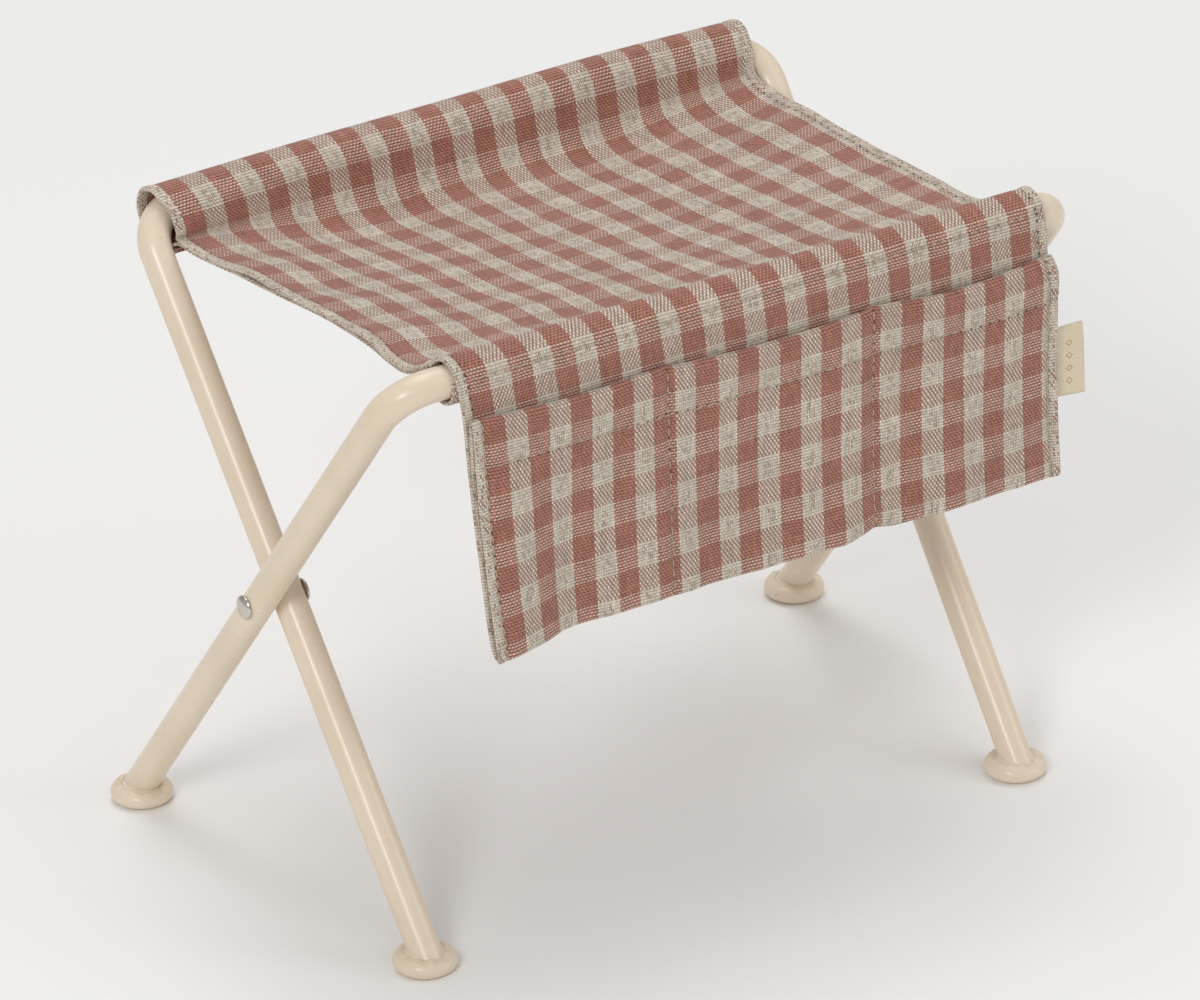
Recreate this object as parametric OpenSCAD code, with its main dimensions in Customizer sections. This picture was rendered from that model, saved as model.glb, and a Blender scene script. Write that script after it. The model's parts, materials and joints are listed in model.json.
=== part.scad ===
// Folding changing table for a doll: two bent rods crossed like scissors,
// a cloth sling hung between their top rails and a cloth pocket flap in front.
// Millimetres. X runs along the rails, the pockets face -Y, Z is up.
// The origin is on the floor, under the middle of the whole table.

/* [Frame] */
// Diameter of the bent rod
rod_d = 6; // [5:0.1:8]
// Height of the rails' centrelines above the floor
rail_h = 114.5; // [90:0.5:150]
// Distance between the front and rear rails
rail_gap = 89.4; // [70:0.1:120]
// Distance between the front and back feet
foot_gap = 83; // [65:0.5:115]
// Distance between the outer rod's two legs, at its rail
outer_w = 140.8; // [110:0.1:180]
// How far each outer leg runs outward on its way down
outer_splay = 2.3; // [0:0.1:4]
// How far each inner leg runs inward on its way down
inner_toe = 2.1; // [0:0.1:4]
// Radius of the rods' bends, at the centreline
bend_r = 7.7; // [6:0.1:12]
// How much the rod's diameter swells round its bends
bend_swell = 0.1; // [0.06:0.01:0.3]
// Air between the two rods where they cross
leg_gap = 0.15; // [0.15:0.05:1]

/* [Feet] */
// Diameter of a foot disc
foot_d = 11.6; // [10.5:0.1:16]
// Thickness of a foot disc
foot_t = 3.2; // [2:0.1:5]

/* [Rivets] */
// Diameter of a rivet's shank
rivet_d = 2.4; // [1.5:0.1:3]
// Diameter of a rivet's domed head
rivet_head_d = 4.5; // [3.6:0.1:5.5]
// Height of a rivet's domed head
rivet_head_h = 1.1; // [0.6:0.1:1.8]
// Radial clearance of a shank in its holes
rivet_fit = 0.05; // [0.02:0.01:0.1]
// Depth of the flat that a rivet head seats on
seat_depth = 0.3; // [0.1:0.05:0.5]
// Air under a rivet's inner head, so that the inner rod can turn
head_gap = 0.05; // [0.02:0.01:0.2]

/* [Sling] */
// Thickness of one layer of cloth
layer_t = 0.5; // [0.3:0.05:0.8]
// Air between the cloth's side edges and the inner rod's legs
cloth_side_gap = 2; // [1:0.1:6]
// Clearance of a sleeve on its rod
sleeve_ease = 0.12; // [0.05:0.01:0.5]
// Depth of the sling's middle below the rails' centrelines
sling_drop = 9.5; // [6:0.5:20]
// Where the sling leaves each sleeve, in degrees below the horizontal
sling_leave = 50; // [20:1:70]
// Air between the sling and the sleeves
sling_gap = 0.15; // [0.1:0.05:0.5]

/* [Pocket flap] */
// Length of the flap from its hinge line to its bottom fold
flap_l = 48; // [35:0.5:65]
// Lean of the hanging flap out from the vertical, in degrees
flap_lean = 2.5; // [0:0.5:8]
// How far the flap's hinge line lies below the sleeve's centreline
hinge_drop = 1; // [0:0.1:2]
// Air between the flap and the sleeve behind it
flap_air = 0.5; // [0.3:0.05:1]
// Thickness of the flap and pocket cloths
flap_t = 0.6; // [0.4:0.05:0.9]
// Height of the pocket panel
pocket_h = 43; // [25:0.5:45]
// Air inside an empty pocket
pocket_air = 0.4; // [0.2:0.05:1]
// Distance of each pocket divider from the flap's middle
divider_x = 22; // [12:0.5:30]
// Width of the flap's rolled side hems
hem_w = 1.1; // [0.8:0.05:1.6]
// Depth of the pocket hem, from the mouth to its stitching
pocket_hem = 8.2; // [3:0.1:12]

/* [Label] */
// Length of the label tape that shows beyond the hem
label_out = 6.3; // [3:0.1:9]
// Height of the label tape
label_h = 13; // [8:0.5:18]
// Thickness of the folded label tape
label_t = 0.5; // [0.3:0.05:0.8]
// Distance of the label's top below the flap's hinge line
label_drop = 20; // [10:0.5:26]

/* [Stitching] */
// Diameter of the sewing thread
thread_d = 0.36; // [0.2:0.02:0.5]
// Distance from one stitch to the next
stitch_pitch = 2.1; // [1.6:0.1:3]
// Length of the thread that shows in one stitch
stitch_l = 1.5; // [1:0.1:1.6]
// Angle of the front sleeve's stitch line above the sleeve's centreline, in degrees
front_seam = 10; // [0:1:40]

/* [Hidden] */
$fn = 64;
cream = "#cdbc9e";
nickel = "#b9b7b2";
rose = "#a8766c";
natural = "#b9b19e";
tape = "#dccdaa";
thread = "#b8a888";

rod_r = rod_d / 2;
rail_y = rail_gap / 2;
foot_y = foot_gap / 2;
leg_rise = rail_h - foot_t;
leg_run = rail_y + foot_y;
leg_lean = atan2(leg_run, leg_rise);
leg_l = norm([leg_run, leg_rise]);

// The legs cross at the height where the two slopes meet, above y = 0
pivot_share = foot_y / leg_run;
pivot_h = foot_t + pivot_share * leg_rise;
outer_cross = outer_w / 2 + outer_splay * (1 - pivot_share);
inner_cross = outer_cross - rod_d - leg_gap;
inner_w = 2 * (inner_cross + inner_toe * (1 - pivot_share));
outer_seat = outer_cross + rod_r - seat_depth;
inner_seat = inner_cross - rod_r + seat_depth;

// The cloth is as wide as the inner legs let it be, so each end of the rear sleeve
// reaches over the start of a bend. Its bore is wide enough for the rod's under side there,
// and it hangs that much down the slope of the legs, so its top still lies on the rod
cloth_w = inner_w - rod_d - 2 * cloth_side_gap;
bend_fat_r = rod_r + bend_swell / 2;
inner_turn = 90 + atan2(inner_toe, leg_l);
bend_reach = max(0, cloth_w / 2 - (inner_w / 2 - bend_r * tan(inner_turn / 2)));
bend_under = bend_r - sqrt(pow(bend_r - bend_fat_r, 2) - pow(bend_reach, 2));
cloth_t = 2 * layer_t;
sleeve_bore_r = (bend_fat_r + bend_under) / 2 + sleeve_ease;
sleeve_drop = (bend_under - bend_fat_r) / 2;
sleeve_r = sleeve_bore_r + cloth_t;
sleeve_y = rail_y - sleeve_drop * sin(leg_lean);
sleeve_h = rail_h - sleeve_drop * cos(leg_lean);

// The sling's profile runs between the points where it leaves the sleeves
sling_y = sleeve_y - (sleeve_r + sling_gap) * cos(sling_leave);
sling_top = sleeve_h - (sleeve_r + sling_gap) * sin(sling_leave);
sling_mid = rail_h - sling_drop;
sling_steps = 28;
sling_curl = 2.6;

// Flap: hinge line, and the depth of its layers in front of the hinge line
hinge_y = sleeve_y + sleeve_r + flap_air + flap_t / 2;
hinge_h = sleeve_h - hinge_drop;
panel_w = cloth_w - 2 * hem_w;
pocket_front = flap_t / 2 + pocket_air + flap_t;
pocket_top = flap_l - pocket_h;

// The origin lies under the middle of the whole table, front flap included
front_reach = hinge_y + flap_l * sin(flap_lean) + pocket_front * cos(flap_lean);
rear_reach = max(sleeve_y + sleeve_r, foot_y + foot_d / 2);
shift_y = (front_reach - rear_reach) / 2;

thread_lift = thread_d / 2 + 0.01;
cut = 40; // size of the blocks that trim the rods
bend_lap = 0.4; // how far a straight length reaches into its bend

// ---- shared shapes ----

module placed() {
    translate([0, shift_y, 0]) children();
}

// Half of a bent rod, in its own plane: rail from the middle to the right, bend, leg down.
// run is how far the leg moves outward (or inward, if negative) over its full length.
module half_rod(w, run) {
    turn = 90 - atan2(run, leg_l);
    straight = w - bend_r * tan(turn / 2);
    rotate([0, 90, 0]) cylinder(d = rod_d, h = straight + bend_lap);
    translate([straight, 0, -bend_r]) {
        rotate([-90, 0, 0]) rotate([0, 0, -90])
            rotate_extrude(angle = turn) translate([bend_r, 0]) circle(d = rod_d + bend_swell);
        rotate([0, turn, 0]) translate([-bend_lap, 0, bend_r])
            rotate([0, 90, 0]) cylinder(d = rod_d, h = leg_l);
    }
}

// A whole bent rod, leaning so that its rail is at y = rail_side * rail_y
module bent_rod(rail_side, w, run, cross) {
    difference() {
        translate([0, rail_side * rail_y, rail_h])
            rotate([-rail_side * leg_lean, 0, 0]) {
                half_rod(w, run);
                mirror([1, 0, 0]) half_rod(w, run);
            }
        translate([-outer_w, -outer_w, foot_t - cut]) cube([2 * outer_w, 2 * outer_w, cut]);
        for (side = [-1, 1])
            translate([side * cross, 0, pivot_h])
                rotate([0, 90, 0]) cylinder(r = rivet_d / 2 + rivet_fit, h = 2 * rod_d, center = true);
    }
}

// Block that leaves a flat on a rod's side at the crossing, to seat a rivet head
module seat_cut(rail_side, x, side) {
    translate([x, 0, pivot_h])
        rotate([-rail_side * leg_lean, 0, 0])
            translate([side > 0 ? 0 : -rod_d, -rod_d, -rivet_head_d * 0.8])
                cube([rod_d, 2 * rod_d, rivet_head_d * 1.6]);
}

module foot(side, x, y) {
    translate([side * x, y, 0]) {
        cylinder(d = foot_d - foot_t, h = foot_t);
        translate([0, 0, foot_t / 2])
            rotate_extrude() translate([foot_d / 2 - foot_t / 2, 0]) circle(d = foot_t);
    }
}

// A rivet on the X axis: shank from -inner to outer, and a dome beyond each end
module rivet(side, outer_x, inner_x) {
    dome_r = (rivet_head_h * rivet_head_h + rivet_head_d * rivet_head_d / 4) / (2 * rivet_head_h);
    translate([0, 0, pivot_h])
        rotate([0, side * 90, 0]) {
            translate([0, 0, inner_x]) cylinder(d = rivet_d, h = outer_x - inner_x);
            translate([0, 0, outer_x]) dome(dome_r);
            translate([0, 0, inner_x]) mirror([0, 0, 1]) dome(dome_r);
        }
}

module dome(dome_r) {
    intersection() {
        translate([0, 0, rivet_head_h - dome_r]) sphere(r = dome_r);
        cylinder(d = rivet_head_d, h = rivet_head_h);
    }
}

module along_x(length) {
    rotate([90, 0, 90]) linear_extrude(height = length, center = true) children();
}

module sleeve() {
    along_x(cloth_w) difference() {
        circle(r = sleeve_r);
        circle(r = sleeve_bore_r);
    }
}

// Height of the sling's upper face at a distance y from its middle
function sling_z(y) = sling_mid + (sling_top - sling_mid) * pow(abs(y) / sling_y, sling_curl);

// One layer of the sling, as a band whose upper face lies depth below the sling's
module sling_layer(depth) {
    ys = [for (i = [0 : sling_steps]) sling_y * (2 * i / sling_steps - 1)];
    top = [for (y = ys) [y, sling_z(y) - depth]];
    low = [for (i = [sling_steps : -1 : 0]) [ys[i], sling_z(ys[i]) - depth - layer_t]];
    along_x(cloth_w) polygon(concat(top, low));
}

// A row of stitches along X, centred, of the whole number of stitches that fits
module stitch_row(length) {
    count = floor((length - stitch_l) / stitch_pitch);
    for (i = [0 : count])
        translate([(i - count / 2) * stitch_pitch, 0, 0])
            rotate([0, 90, 0]) cylinder(d = thread_d, h = stitch_l, center = true, $fn = 16);
}

// The flap's own frame: z = 0 on the hinge line, -z down the cloth, -y in front of it
module hanging() {
    translate([0, -hinge_y, hinge_h]) rotate([-flap_lean, 0, 0]) children();
}

// ---- outer frame ----

module outer_rod() {
    color(cream) placed() difference() {
        bent_rod(-1, outer_w / 2, outer_splay, outer_cross);
        for (side = [-1, 1]) seat_cut(-1, side * outer_seat, side);
    }
}

module back_left_foot() {
    color(cream) placed() foot(-1, outer_w / 2 + outer_splay, foot_y);
}

module back_right_foot() {
    color(cream) placed() foot(1, outer_w / 2 + outer_splay, foot_y);
}

module left_rivet() {
    color(nickel) placed() rivet(-1, outer_seat, inner_seat - head_gap);
}

module right_rivet() {
    color(nickel) placed() rivet(1, outer_seat, inner_seat - head_gap);
}

module front_sleeve() {
    color(rose) placed() translate([0, -sleeve_y, sleeve_h]) sleeve();
}

module front_sleeve_stitching() {
    color(thread) placed()
        translate([0, -sleeve_y, sleeve_h])
            rotate([-front_seam, 0, 0])
                translate([0, -sleeve_r - thread_lift, 0]) stitch_row(cloth_w);
}

module sling_cloth() {
    color(rose) placed() sling_layer(0);
}

module sling_lining() {
    color(natural) placed() sling_layer(layer_t);
}

// ---- inner frame ----

module inner_rod() {
    color(cream) placed() difference() {
        bent_rod(1, inner_w / 2, -inner_toe, inner_cross);
        for (side = [-1, 1]) seat_cut(1, side * inner_seat, -side);
    }
}

module front_left_foot() {
    color(cream) placed() foot(-1, inner_w / 2 - inner_toe, -foot_y);
}

module front_right_foot() {
    color(cream) placed() foot(1, inner_w / 2 - inner_toe, -foot_y);
}

module rear_sleeve() {
    color(rose) placed() translate([0, sleeve_y, sleeve_h]) sleeve();
}

// The rear sleeve is closed underneath, where the sling's lining turns back
module rear_sleeve_stitching() {
    color(thread) placed()
        translate([0, sleeve_y, sleeve_h - sleeve_r - thread_lift]) stitch_row(cloth_w);
}

// ---- pocket flap ----

module flap_panel() {
    color(rose) placed() hanging() along_x(panel_w) {
        translate([-flap_t / 2, -flap_l]) square([flap_t, flap_l]);
        circle(d = flap_t);
    }
}

// The flap's cloth folded up in front of itself, so its bottom edge is a fold
module pocket_panel() {
    color(rose) placed() hanging() along_x(panel_w) {
        translate([-pocket_front, -flap_l]) square([flap_t, pocket_h]);
        translate([-pocket_front, -flap_l]) square([flap_t + pocket_air, flap_t]);
    }
}

// A side hem rolls round the edges of both cloths
module side_hem(side) {
    depth = pocket_front + flap_t / 2;
    color(natural) placed() hanging()
        translate([side * panel_w / 2, 0, -flap_l])
            linear_extrude(height = flap_l - pocket_top + hem_w) {
                translate([side > 0 ? 0 : -hem_w / 2, -pocket_front]) square([hem_w / 2, depth]);
                intersection() {
                    translate([side * hem_w / 2, flap_t / 2 - depth / 2]) circle(d = depth);
                    translate([side > 0 ? 0 : -hem_w, -pocket_front]) square([hem_w, depth]);
                }
            }
}

module flap_left_hem() {
    side_hem(-1);
}

module flap_right_hem() {
    side_hem(1);
}

// A short tape folded in two, caught in the right hem
module side_label() {
    color(tape) placed() hanging()
        translate([panel_w / 2 + hem_w, -flap_t / 2 - label_t / 2, -label_drop - label_h])
            cube([label_out, label_t, label_h]);
}

// Stitches on the pocket's front face: a row across between two other rows,
// or a row down the cloth over the pocket's whole height
module across(x, span) {
    translate([x, -pocket_front - thread_lift, -pocket_top - pocket_hem])
        stitch_row(span - 2 * thread_d);
}

module down(x) {
    translate([x, -pocket_front - thread_lift, -flap_l + pocket_h / 2])
        rotate([0, 90, 0]) stitch_row(pocket_h - 2 * thread_d);
}

// The pocket hem's row stops short of the rows that run down, one length for each pocket
module pocket_hem_stitching() {
    side_span = panel_w / 2 - hem_w - divider_x;
    color(thread) placed() hanging() {
        across(0, 2 * divider_x);
        for (side = [-1, 1]) across(side * (divider_x + side_span / 2), side_span);
    }
}

module divider_stitching(side) {
    color(thread) placed() hanging() down(side * divider_x);
}

module left_divider_stitching() {
    divider_stitching(-1);
}

module right_divider_stitching() {
    divider_stitching(1);
}

module hem_stitching(side) {
    color(thread) placed() hanging() down(side * (panel_w / 2 - hem_w));
}

module left_hem_stitching() {
    hem_stitching(-1);
}

module right_hem_stitching() {
    hem_stitching(1);
}

outer_rod();
back_left_foot();
back_right_foot();
left_rivet();
right_rivet();
front_sleeve();
front_sleeve_stitching();
sling_cloth();
sling_lining();
inner_rod();
front_left_foot();
front_right_foot();
rear_sleeve();
rear_sleeve_stitching();
flap_panel();
pocket_panel();
flap_left_hem();
flap_right_hem();
side_label();
pocket_hem_stitching();
left_divider_stitching();
right_divider_stitching();
left_hem_stitching();
right_hem_stitching();
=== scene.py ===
"""Looks of a folding changing table for a doll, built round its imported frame.

Every length here is in millimetres unless its name ends in _m, and every mesh is written
in metres in the frame's own axes: X along the rails, the pockets towards -Y, Z up.
"""

import json
import logging
import math
from dataclasses import dataclass, field
from enum import Enum

import bmesh
import bpy
import numpy as np
from mathutils import Matrix, Vector


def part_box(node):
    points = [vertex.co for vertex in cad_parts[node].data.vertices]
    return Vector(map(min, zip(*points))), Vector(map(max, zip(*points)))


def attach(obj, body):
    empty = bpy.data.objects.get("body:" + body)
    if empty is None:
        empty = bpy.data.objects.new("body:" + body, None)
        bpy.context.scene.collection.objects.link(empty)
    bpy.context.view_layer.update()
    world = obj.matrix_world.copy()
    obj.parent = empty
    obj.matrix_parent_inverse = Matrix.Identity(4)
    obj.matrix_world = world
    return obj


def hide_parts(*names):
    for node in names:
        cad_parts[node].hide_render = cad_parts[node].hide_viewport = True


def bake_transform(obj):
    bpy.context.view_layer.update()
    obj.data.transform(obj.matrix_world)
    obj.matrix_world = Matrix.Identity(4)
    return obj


LOG = logging.getLogger("changing_table")
MM = 0.001
Array = np.ndarray

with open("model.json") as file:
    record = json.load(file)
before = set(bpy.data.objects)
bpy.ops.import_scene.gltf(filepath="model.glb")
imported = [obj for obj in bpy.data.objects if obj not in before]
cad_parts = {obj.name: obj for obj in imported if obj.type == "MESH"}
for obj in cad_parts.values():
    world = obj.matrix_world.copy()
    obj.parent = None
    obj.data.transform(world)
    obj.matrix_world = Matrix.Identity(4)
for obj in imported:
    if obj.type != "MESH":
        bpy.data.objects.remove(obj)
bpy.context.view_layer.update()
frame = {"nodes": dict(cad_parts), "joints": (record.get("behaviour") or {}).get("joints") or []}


class Body(Enum):
    """The frame's moving bodies."""

    OUTER = "outer_frame"
    INNER = "inner_frame"
    FLAP = "pocket_flap"


# ---------------------------------------------------------------- shapes as arrays


def spline(keys: Array, t: Array) -> Array:
    """A smooth curve through rows of keys, by the Catmull-Rom cubic.

    Each piece is the cubic that meets its two keys and has, at each, half the step
    between that key's neighbours as its slope.

    Args:
        keys: Values to pass through, along the first axis.
        t: Places along the keys, 0 at the first and len(keys) - 1 at the last.

    Returns:
        The curve's values, one row for each place.
    """
    keys = np.asarray(keys, float)
    padded = np.concatenate([[2 * keys[0] - keys[1]], keys, [2 * keys[-1] - keys[-2]]])
    i = np.clip(np.floor(t).astype(int), 0, len(keys) - 2)
    f = (t - i).reshape((-1,) + (1,) * (keys.ndim - 1))
    a, b, c, d = (padded[i + k] for k in range(4))
    return b + 0.5 * f * (c - a + f * (2 * a - 5 * b + 4 * c - d + f * (3 * (b - c) + d - a)))


def smooth(x: Array, low: float, high: float) -> Array:
    """Rises from 0 at low to 1 at high as 3t^2 - 2t^3."""
    t = np.clip((np.asarray(x, float) - low) / (high - low), 0, 1)
    return t * t * (3 - 2 * t)


def hump(x: Array, middle: float, width: float) -> Array:
    """A bell of height 1: e to the power of minus the square of (x - middle) / width."""
    return np.exp(-(((np.asarray(x, float) - middle) / width) ** 2))


def unit(v: Array) -> Array:
    """Vectors scaled to length 1."""
    return v / np.maximum(np.linalg.norm(v, axis=-1, keepdims=True), 1e-12)


def even_places(keys: Array, step: float) -> tuple[Array, Array]:
    """Places along a spline that are evenly spaced by arc length.

    Args:
        keys: The spline's keys.
        step: Wanted distance between places.

    Returns:
        The places, and each one's arc length from the start.
    """
    dense_t = np.linspace(0, len(keys) - 1, 60 * len(keys))
    dense = spline(keys, dense_t)
    run = np.r_[0, np.cumsum(np.linalg.norm(np.diff(dense, axis=0), axis=1))]
    count = max(8, int(round(run[-1] / step)) + 1)
    lengths = np.linspace(0, run[-1], count)
    return np.interp(lengths, run, dense_t), lengths


def ripple(u: Array, v: Array, waves: list[tuple[float, float, float, float]]) -> Array:
    """A sum of slanted sine waves: height times sin(2 pi (u / along + v / down) + phase).

    Args:
        u: First coordinate.
        v: Second coordinate.
        waves: (height, along, down, phase) of each wave, in millimetres and radians.

    Returns:
        The summed heights.
    """
    total = np.zeros(np.broadcast(u, v).shape)
    for height, along, down, phase in waves:
        total = total + height * np.sin(2 * math.pi * (u / along + v / down) + phase)
    return total


def put_mesh(
    name: str,
    points: Array,
    faces: list[Array],
    uv: Array | None = None,
    materials: list[bpy.types.Material] | None = None,
) -> bpy.types.Object:
    """Puts arrays into a new mesh object at the origin, smooth shaded.

    Args:
        name: The object's name.
        points: Corner points, in millimetres.
        faces: Arrays of corner numbers, one array for each number of sides.
        uv: One pair for each point, if the piece has its own UV map.
        materials: Materials to give it.

    Returns:
        The object.
    """
    mesh = bpy.data.meshes.new(name)
    sizes = np.concatenate([np.full(len(f), f.shape[1]) for f in faces])
    corners = np.concatenate([f.ravel() for f in faces]).astype(np.int32)
    mesh.vertices.add(len(points))
    mesh.vertices.foreach_set("co", (points * MM).astype(np.float32).ravel())
    mesh.loops.add(len(corners))
    mesh.loops.foreach_set("vertex_index", corners)
    mesh.polygons.add(len(sizes))
    mesh.polygons.foreach_set("loop_start", np.r_[0, np.cumsum(sizes)[:-1]].astype(np.int32))
    mesh.polygons.foreach_set("use_smooth", np.ones(len(sizes), bool))
    mesh.update(calc_edges=True)
    if uv is not None:
        layer = mesh.uv_layers.new(name="cloth")
        layer.data.foreach_set("uv", uv[corners].astype(np.float32).ravel())
    mesh.validate()
    obj = bpy.data.objects.new(name, mesh)
    bpy.context.scene.collection.objects.link(obj)
    for material in materials or []:
        mesh.materials.append(material)
    return obj


def strip_faces(rows: int, columns: int, closed: bool, first: int = 0) -> Array:
    """Quads of a grid of points, numbered row by row.

    Args:
        rows: Number of rows.
        columns: Points in a row.
        closed: Whether each row is a loop.
        first: Number of the grid's first point.

    Returns:
        The quads, as rows of four point numbers.
    """
    n = np.arange(rows * columns).reshape(rows, columns) + first
    across = np.roll(n, -1, axis=1) if closed else n[:, 1:]
    here = n if closed else n[:, :-1]
    return np.stack([here[:-1], across[:-1], across[1:], here[1:]], -1).reshape(-1, 4)


def cloth_shell(
    name: str,
    mid: Array,
    uv: Array,
    half: Array,
    materials: list[bpy.types.Material],
) -> bpy.types.Object:
    """A closed sheet of cloth round its middle surface, with half-round side edges.

    Each row of the middle surface becomes a loop: half a thickness above it from left to
    right, round the right edge, back below it and round the left edge. The two end rows
    are closed flat.

    Args:
        name: The piece's name.
        mid: Middle surface, as rows down the cloth of points across it.
        uv: Cloth coordinates of the same grid, in millimetres.
        half: Half of the thickness at each point.
        materials: The piece's materials.

    Returns:
        The object.
    """
    across = unit(np.gradient(mid, axis=1))
    normal = unit(np.cross(across, np.gradient(mid, axis=0)))
    h = half[..., None]
    top, low = mid + normal * h, mid - normal * h
    angles = np.radians([30, 70, 110, 150])[None, :, None]

    def rim(column: int, outward: float) -> tuple[Array, Array]:
        """The round edge's points and cloth coordinates at one side of the sheet."""
        edge, n, a = mid[:, column, None], normal[:, column, None], across[:, column, None]
        r = h[:, column, None]
        points = edge + r * (n * np.cos(angles) + outward * a * np.sin(angles))
        turn = r * angles
        shifted = uv[:, column, None] + np.concatenate([outward * turn, 0 * turn], -1)
        return points, shifted

    right, right_uv = rim(-1, 1.0)
    left, left_uv = rim(0, -1.0)
    loops = np.concatenate([top, right, low[:, ::-1], left[:, ::-1]], 1)
    loop_uv = np.concatenate([uv, right_uv, uv[:, ::-1], left_uv[:, ::-1]], 1)
    rows, columns = loops.shape[:2]
    width = mid.shape[1]
    quads = strip_faces(rows, columns, True)
    k = angles.shape[1]
    i = np.arange(width - 1)
    mate = 2 * width + k - 1 - i
    caps = np.stack([i, mate, mate - 1, i + 1], -1)
    right_cap = np.r_[width - 1, width + k, width + k - 1 - np.arange(k)][None]
    left_cap = np.r_[0, columns - 1 - np.arange(k), 2 * width + k - 1][None]
    last = (rows - 1) * columns
    faces = [
        quads,
        caps,
        caps[:, ::-1] + last,
    ]
    ends = [right_cap, left_cap, right_cap[:, ::-1] + last, left_cap[:, ::-1] + last]
    return put_mesh(
        name,
        loops.reshape(-1, 3),
        [np.concatenate(faces), np.concatenate(ends)],
        loop_uv.reshape(-1, 2),
        materials,
    )


def turned(profile: Array, place: Matrix, sides: int) -> tuple[Array, Array]:
    """Points and quads of a profile turned round its own Z axis, then placed.

    A point at radius r and height z goes to (r cos a, r sin a, z) at each angle a.

    Args:
        profile: Rows of radius and height, the first and last at radius 0.
        place: Where the turned shape goes.
        sides: Number of angles.

    Returns:
        The points, and the quads.
    """
    angle = np.linspace(0, 2 * math.pi, sides, endpoint=False)
    r, z = profile[:, :1], profile[:, 1:]
    points = np.stack([r * np.cos(angle), r * np.sin(angle), z + 0 * angle], -1)
    m = np.array(place)
    return points.reshape(-1, 3) @ m[:3, :3].T + m[:3, 3], strip_faces(len(profile), sides, True)


def merged(obj: bpy.types.Object, distance_m: float = 1e-7) -> bpy.types.Object:
    """Merges doubled points, such as a turned shape's poles, and turns its faces outwards."""
    work = bmesh.new()
    work.from_mesh(obj.data)
    bmesh.ops.remove_doubles(work, verts=work.verts, dist=distance_m)
    bmesh.ops.recalc_face_normals(work, faces=work.faces)
    work.to_mesh(obj.data)
    work.free()
    obj.data.shade_smooth()
    return obj


def settle(obj: bpy.types.Object, body: Body, slot: str, *nodes: str) -> bpy.types.Object:
    """Lets a rigid piece stand for CAD nodes and ride on a body."""
    if nodes:
        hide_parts(*nodes)
    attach(obj, body.value)
    LOG.info("built %s on %s", obj.name, body.value)
    return obj


# ---------------------------------------------------------------- shader building


class Nodes:
    """Adds nodes to one node tree and joins them up, so that formulas read as formulas."""

    def __init__(self, tree: bpy.types.NodeTree) -> None:
        """Keeps the tree that nodes are added to."""
        self.tree = tree

    def add(self, kind: str, **values: object) -> bpy.types.Node:
        """Adds a node of a kind and sets its attributes."""
        node = self.tree.nodes.new(kind)
        for key, value in values.items():
            setattr(node, key, value)
        return node

    def feed(self, socket: bpy.types.NodeSocket, value: object) -> None:
        """Joins an output to a socket, or sets the socket's own value."""
        if isinstance(value, bpy.types.NodeSocket):
            self.tree.links.new(value, socket)
        elif value is not None:
            socket.default_value = value

    def math(self, operation: str, *values: object, clamp: bool = False) -> bpy.types.NodeSocket:
        """One Math node's output."""
        node = self.add("ShaderNodeMath", operation=operation, use_clamp=clamp)
        for socket, value in zip(node.inputs, values, strict=False):
            self.feed(socket, value)
        return node.outputs[0]

    def mix(self, share: object, a: object, b: object, blend: str = "MIX") -> bpy.types.NodeSocket:
        """Mixes two colours."""
        node = self.add("ShaderNodeMix", data_type="RGBA", blend_type=blend)
        node.clamp_factor = True
        self.feed(node.inputs[0], share)
        self.feed(node.inputs[6], a)
        self.feed(node.inputs[7], b)
        return node.outputs[2]

    def ramp(self, value: object, low: float, high: float) -> bpy.types.NodeSocket:
        """Rises smoothly from 0 at low to 1 at high."""
        node = self.add("ShaderNodeMapRange", interpolation_type="SMOOTHSTEP", clamp=True)
        for socket, x in zip(node.inputs, (value, low, high, 0.0, 1.0), strict=False):
            self.feed(socket, x)
        return node.outputs[0]

    def noise(
        self, vector: object, scale: float, detail: float = 2.0, rough: float = 0.5
    ) -> bpy.types.NodeSocket:
        """A Noise Texture's value."""
        node = self.add("ShaderNodeTexNoise", noise_dimensions="3D")
        self.feed(node.inputs["Vector"], vector)
        node.inputs["Scale"].default_value = scale
        node.inputs["Detail"].default_value = detail
        node.inputs["Roughness"].default_value = rough
        return node.outputs[0]

    def vector(self, x: object, y: object, z: object = 0.0) -> bpy.types.NodeSocket:
        """A vector of three values."""
        node = self.add("ShaderNodeCombineXYZ")
        for socket, value in zip(node.inputs, (x, y, z), strict=True):
            self.feed(socket, value)
        return node.outputs[0]

    def random(self, vector: object) -> bpy.types.NodeSocket:
        """A fixed random number for each whole vector."""
        node = self.add("ShaderNodeTexWhiteNoise", noise_dimensions="3D")
        self.feed(node.inputs["Vector"], vector)
        return node.outputs["Value"]


def relief(
    n: Nodes, shader: bpy.types.Node, height: object, strength: float, deep: float
) -> None:
    """Joins a height to a shader's normal through a Bump node.

    Args:
        n: The material's node builder.
        shader: Its Principled node.
        height: The height's output.
        strength: The bump's strength.
        deep: Height of the relief, in millimetres.
    """
    bump = n.add("ShaderNodeBump")
    bump.inputs["Strength"].default_value = strength
    bump.inputs["Distance"].default_value = deep * MM
    n.feed(bump.inputs["Height"], height)
    n.feed(shader.inputs["Normal"], bump.outputs[0])


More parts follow.
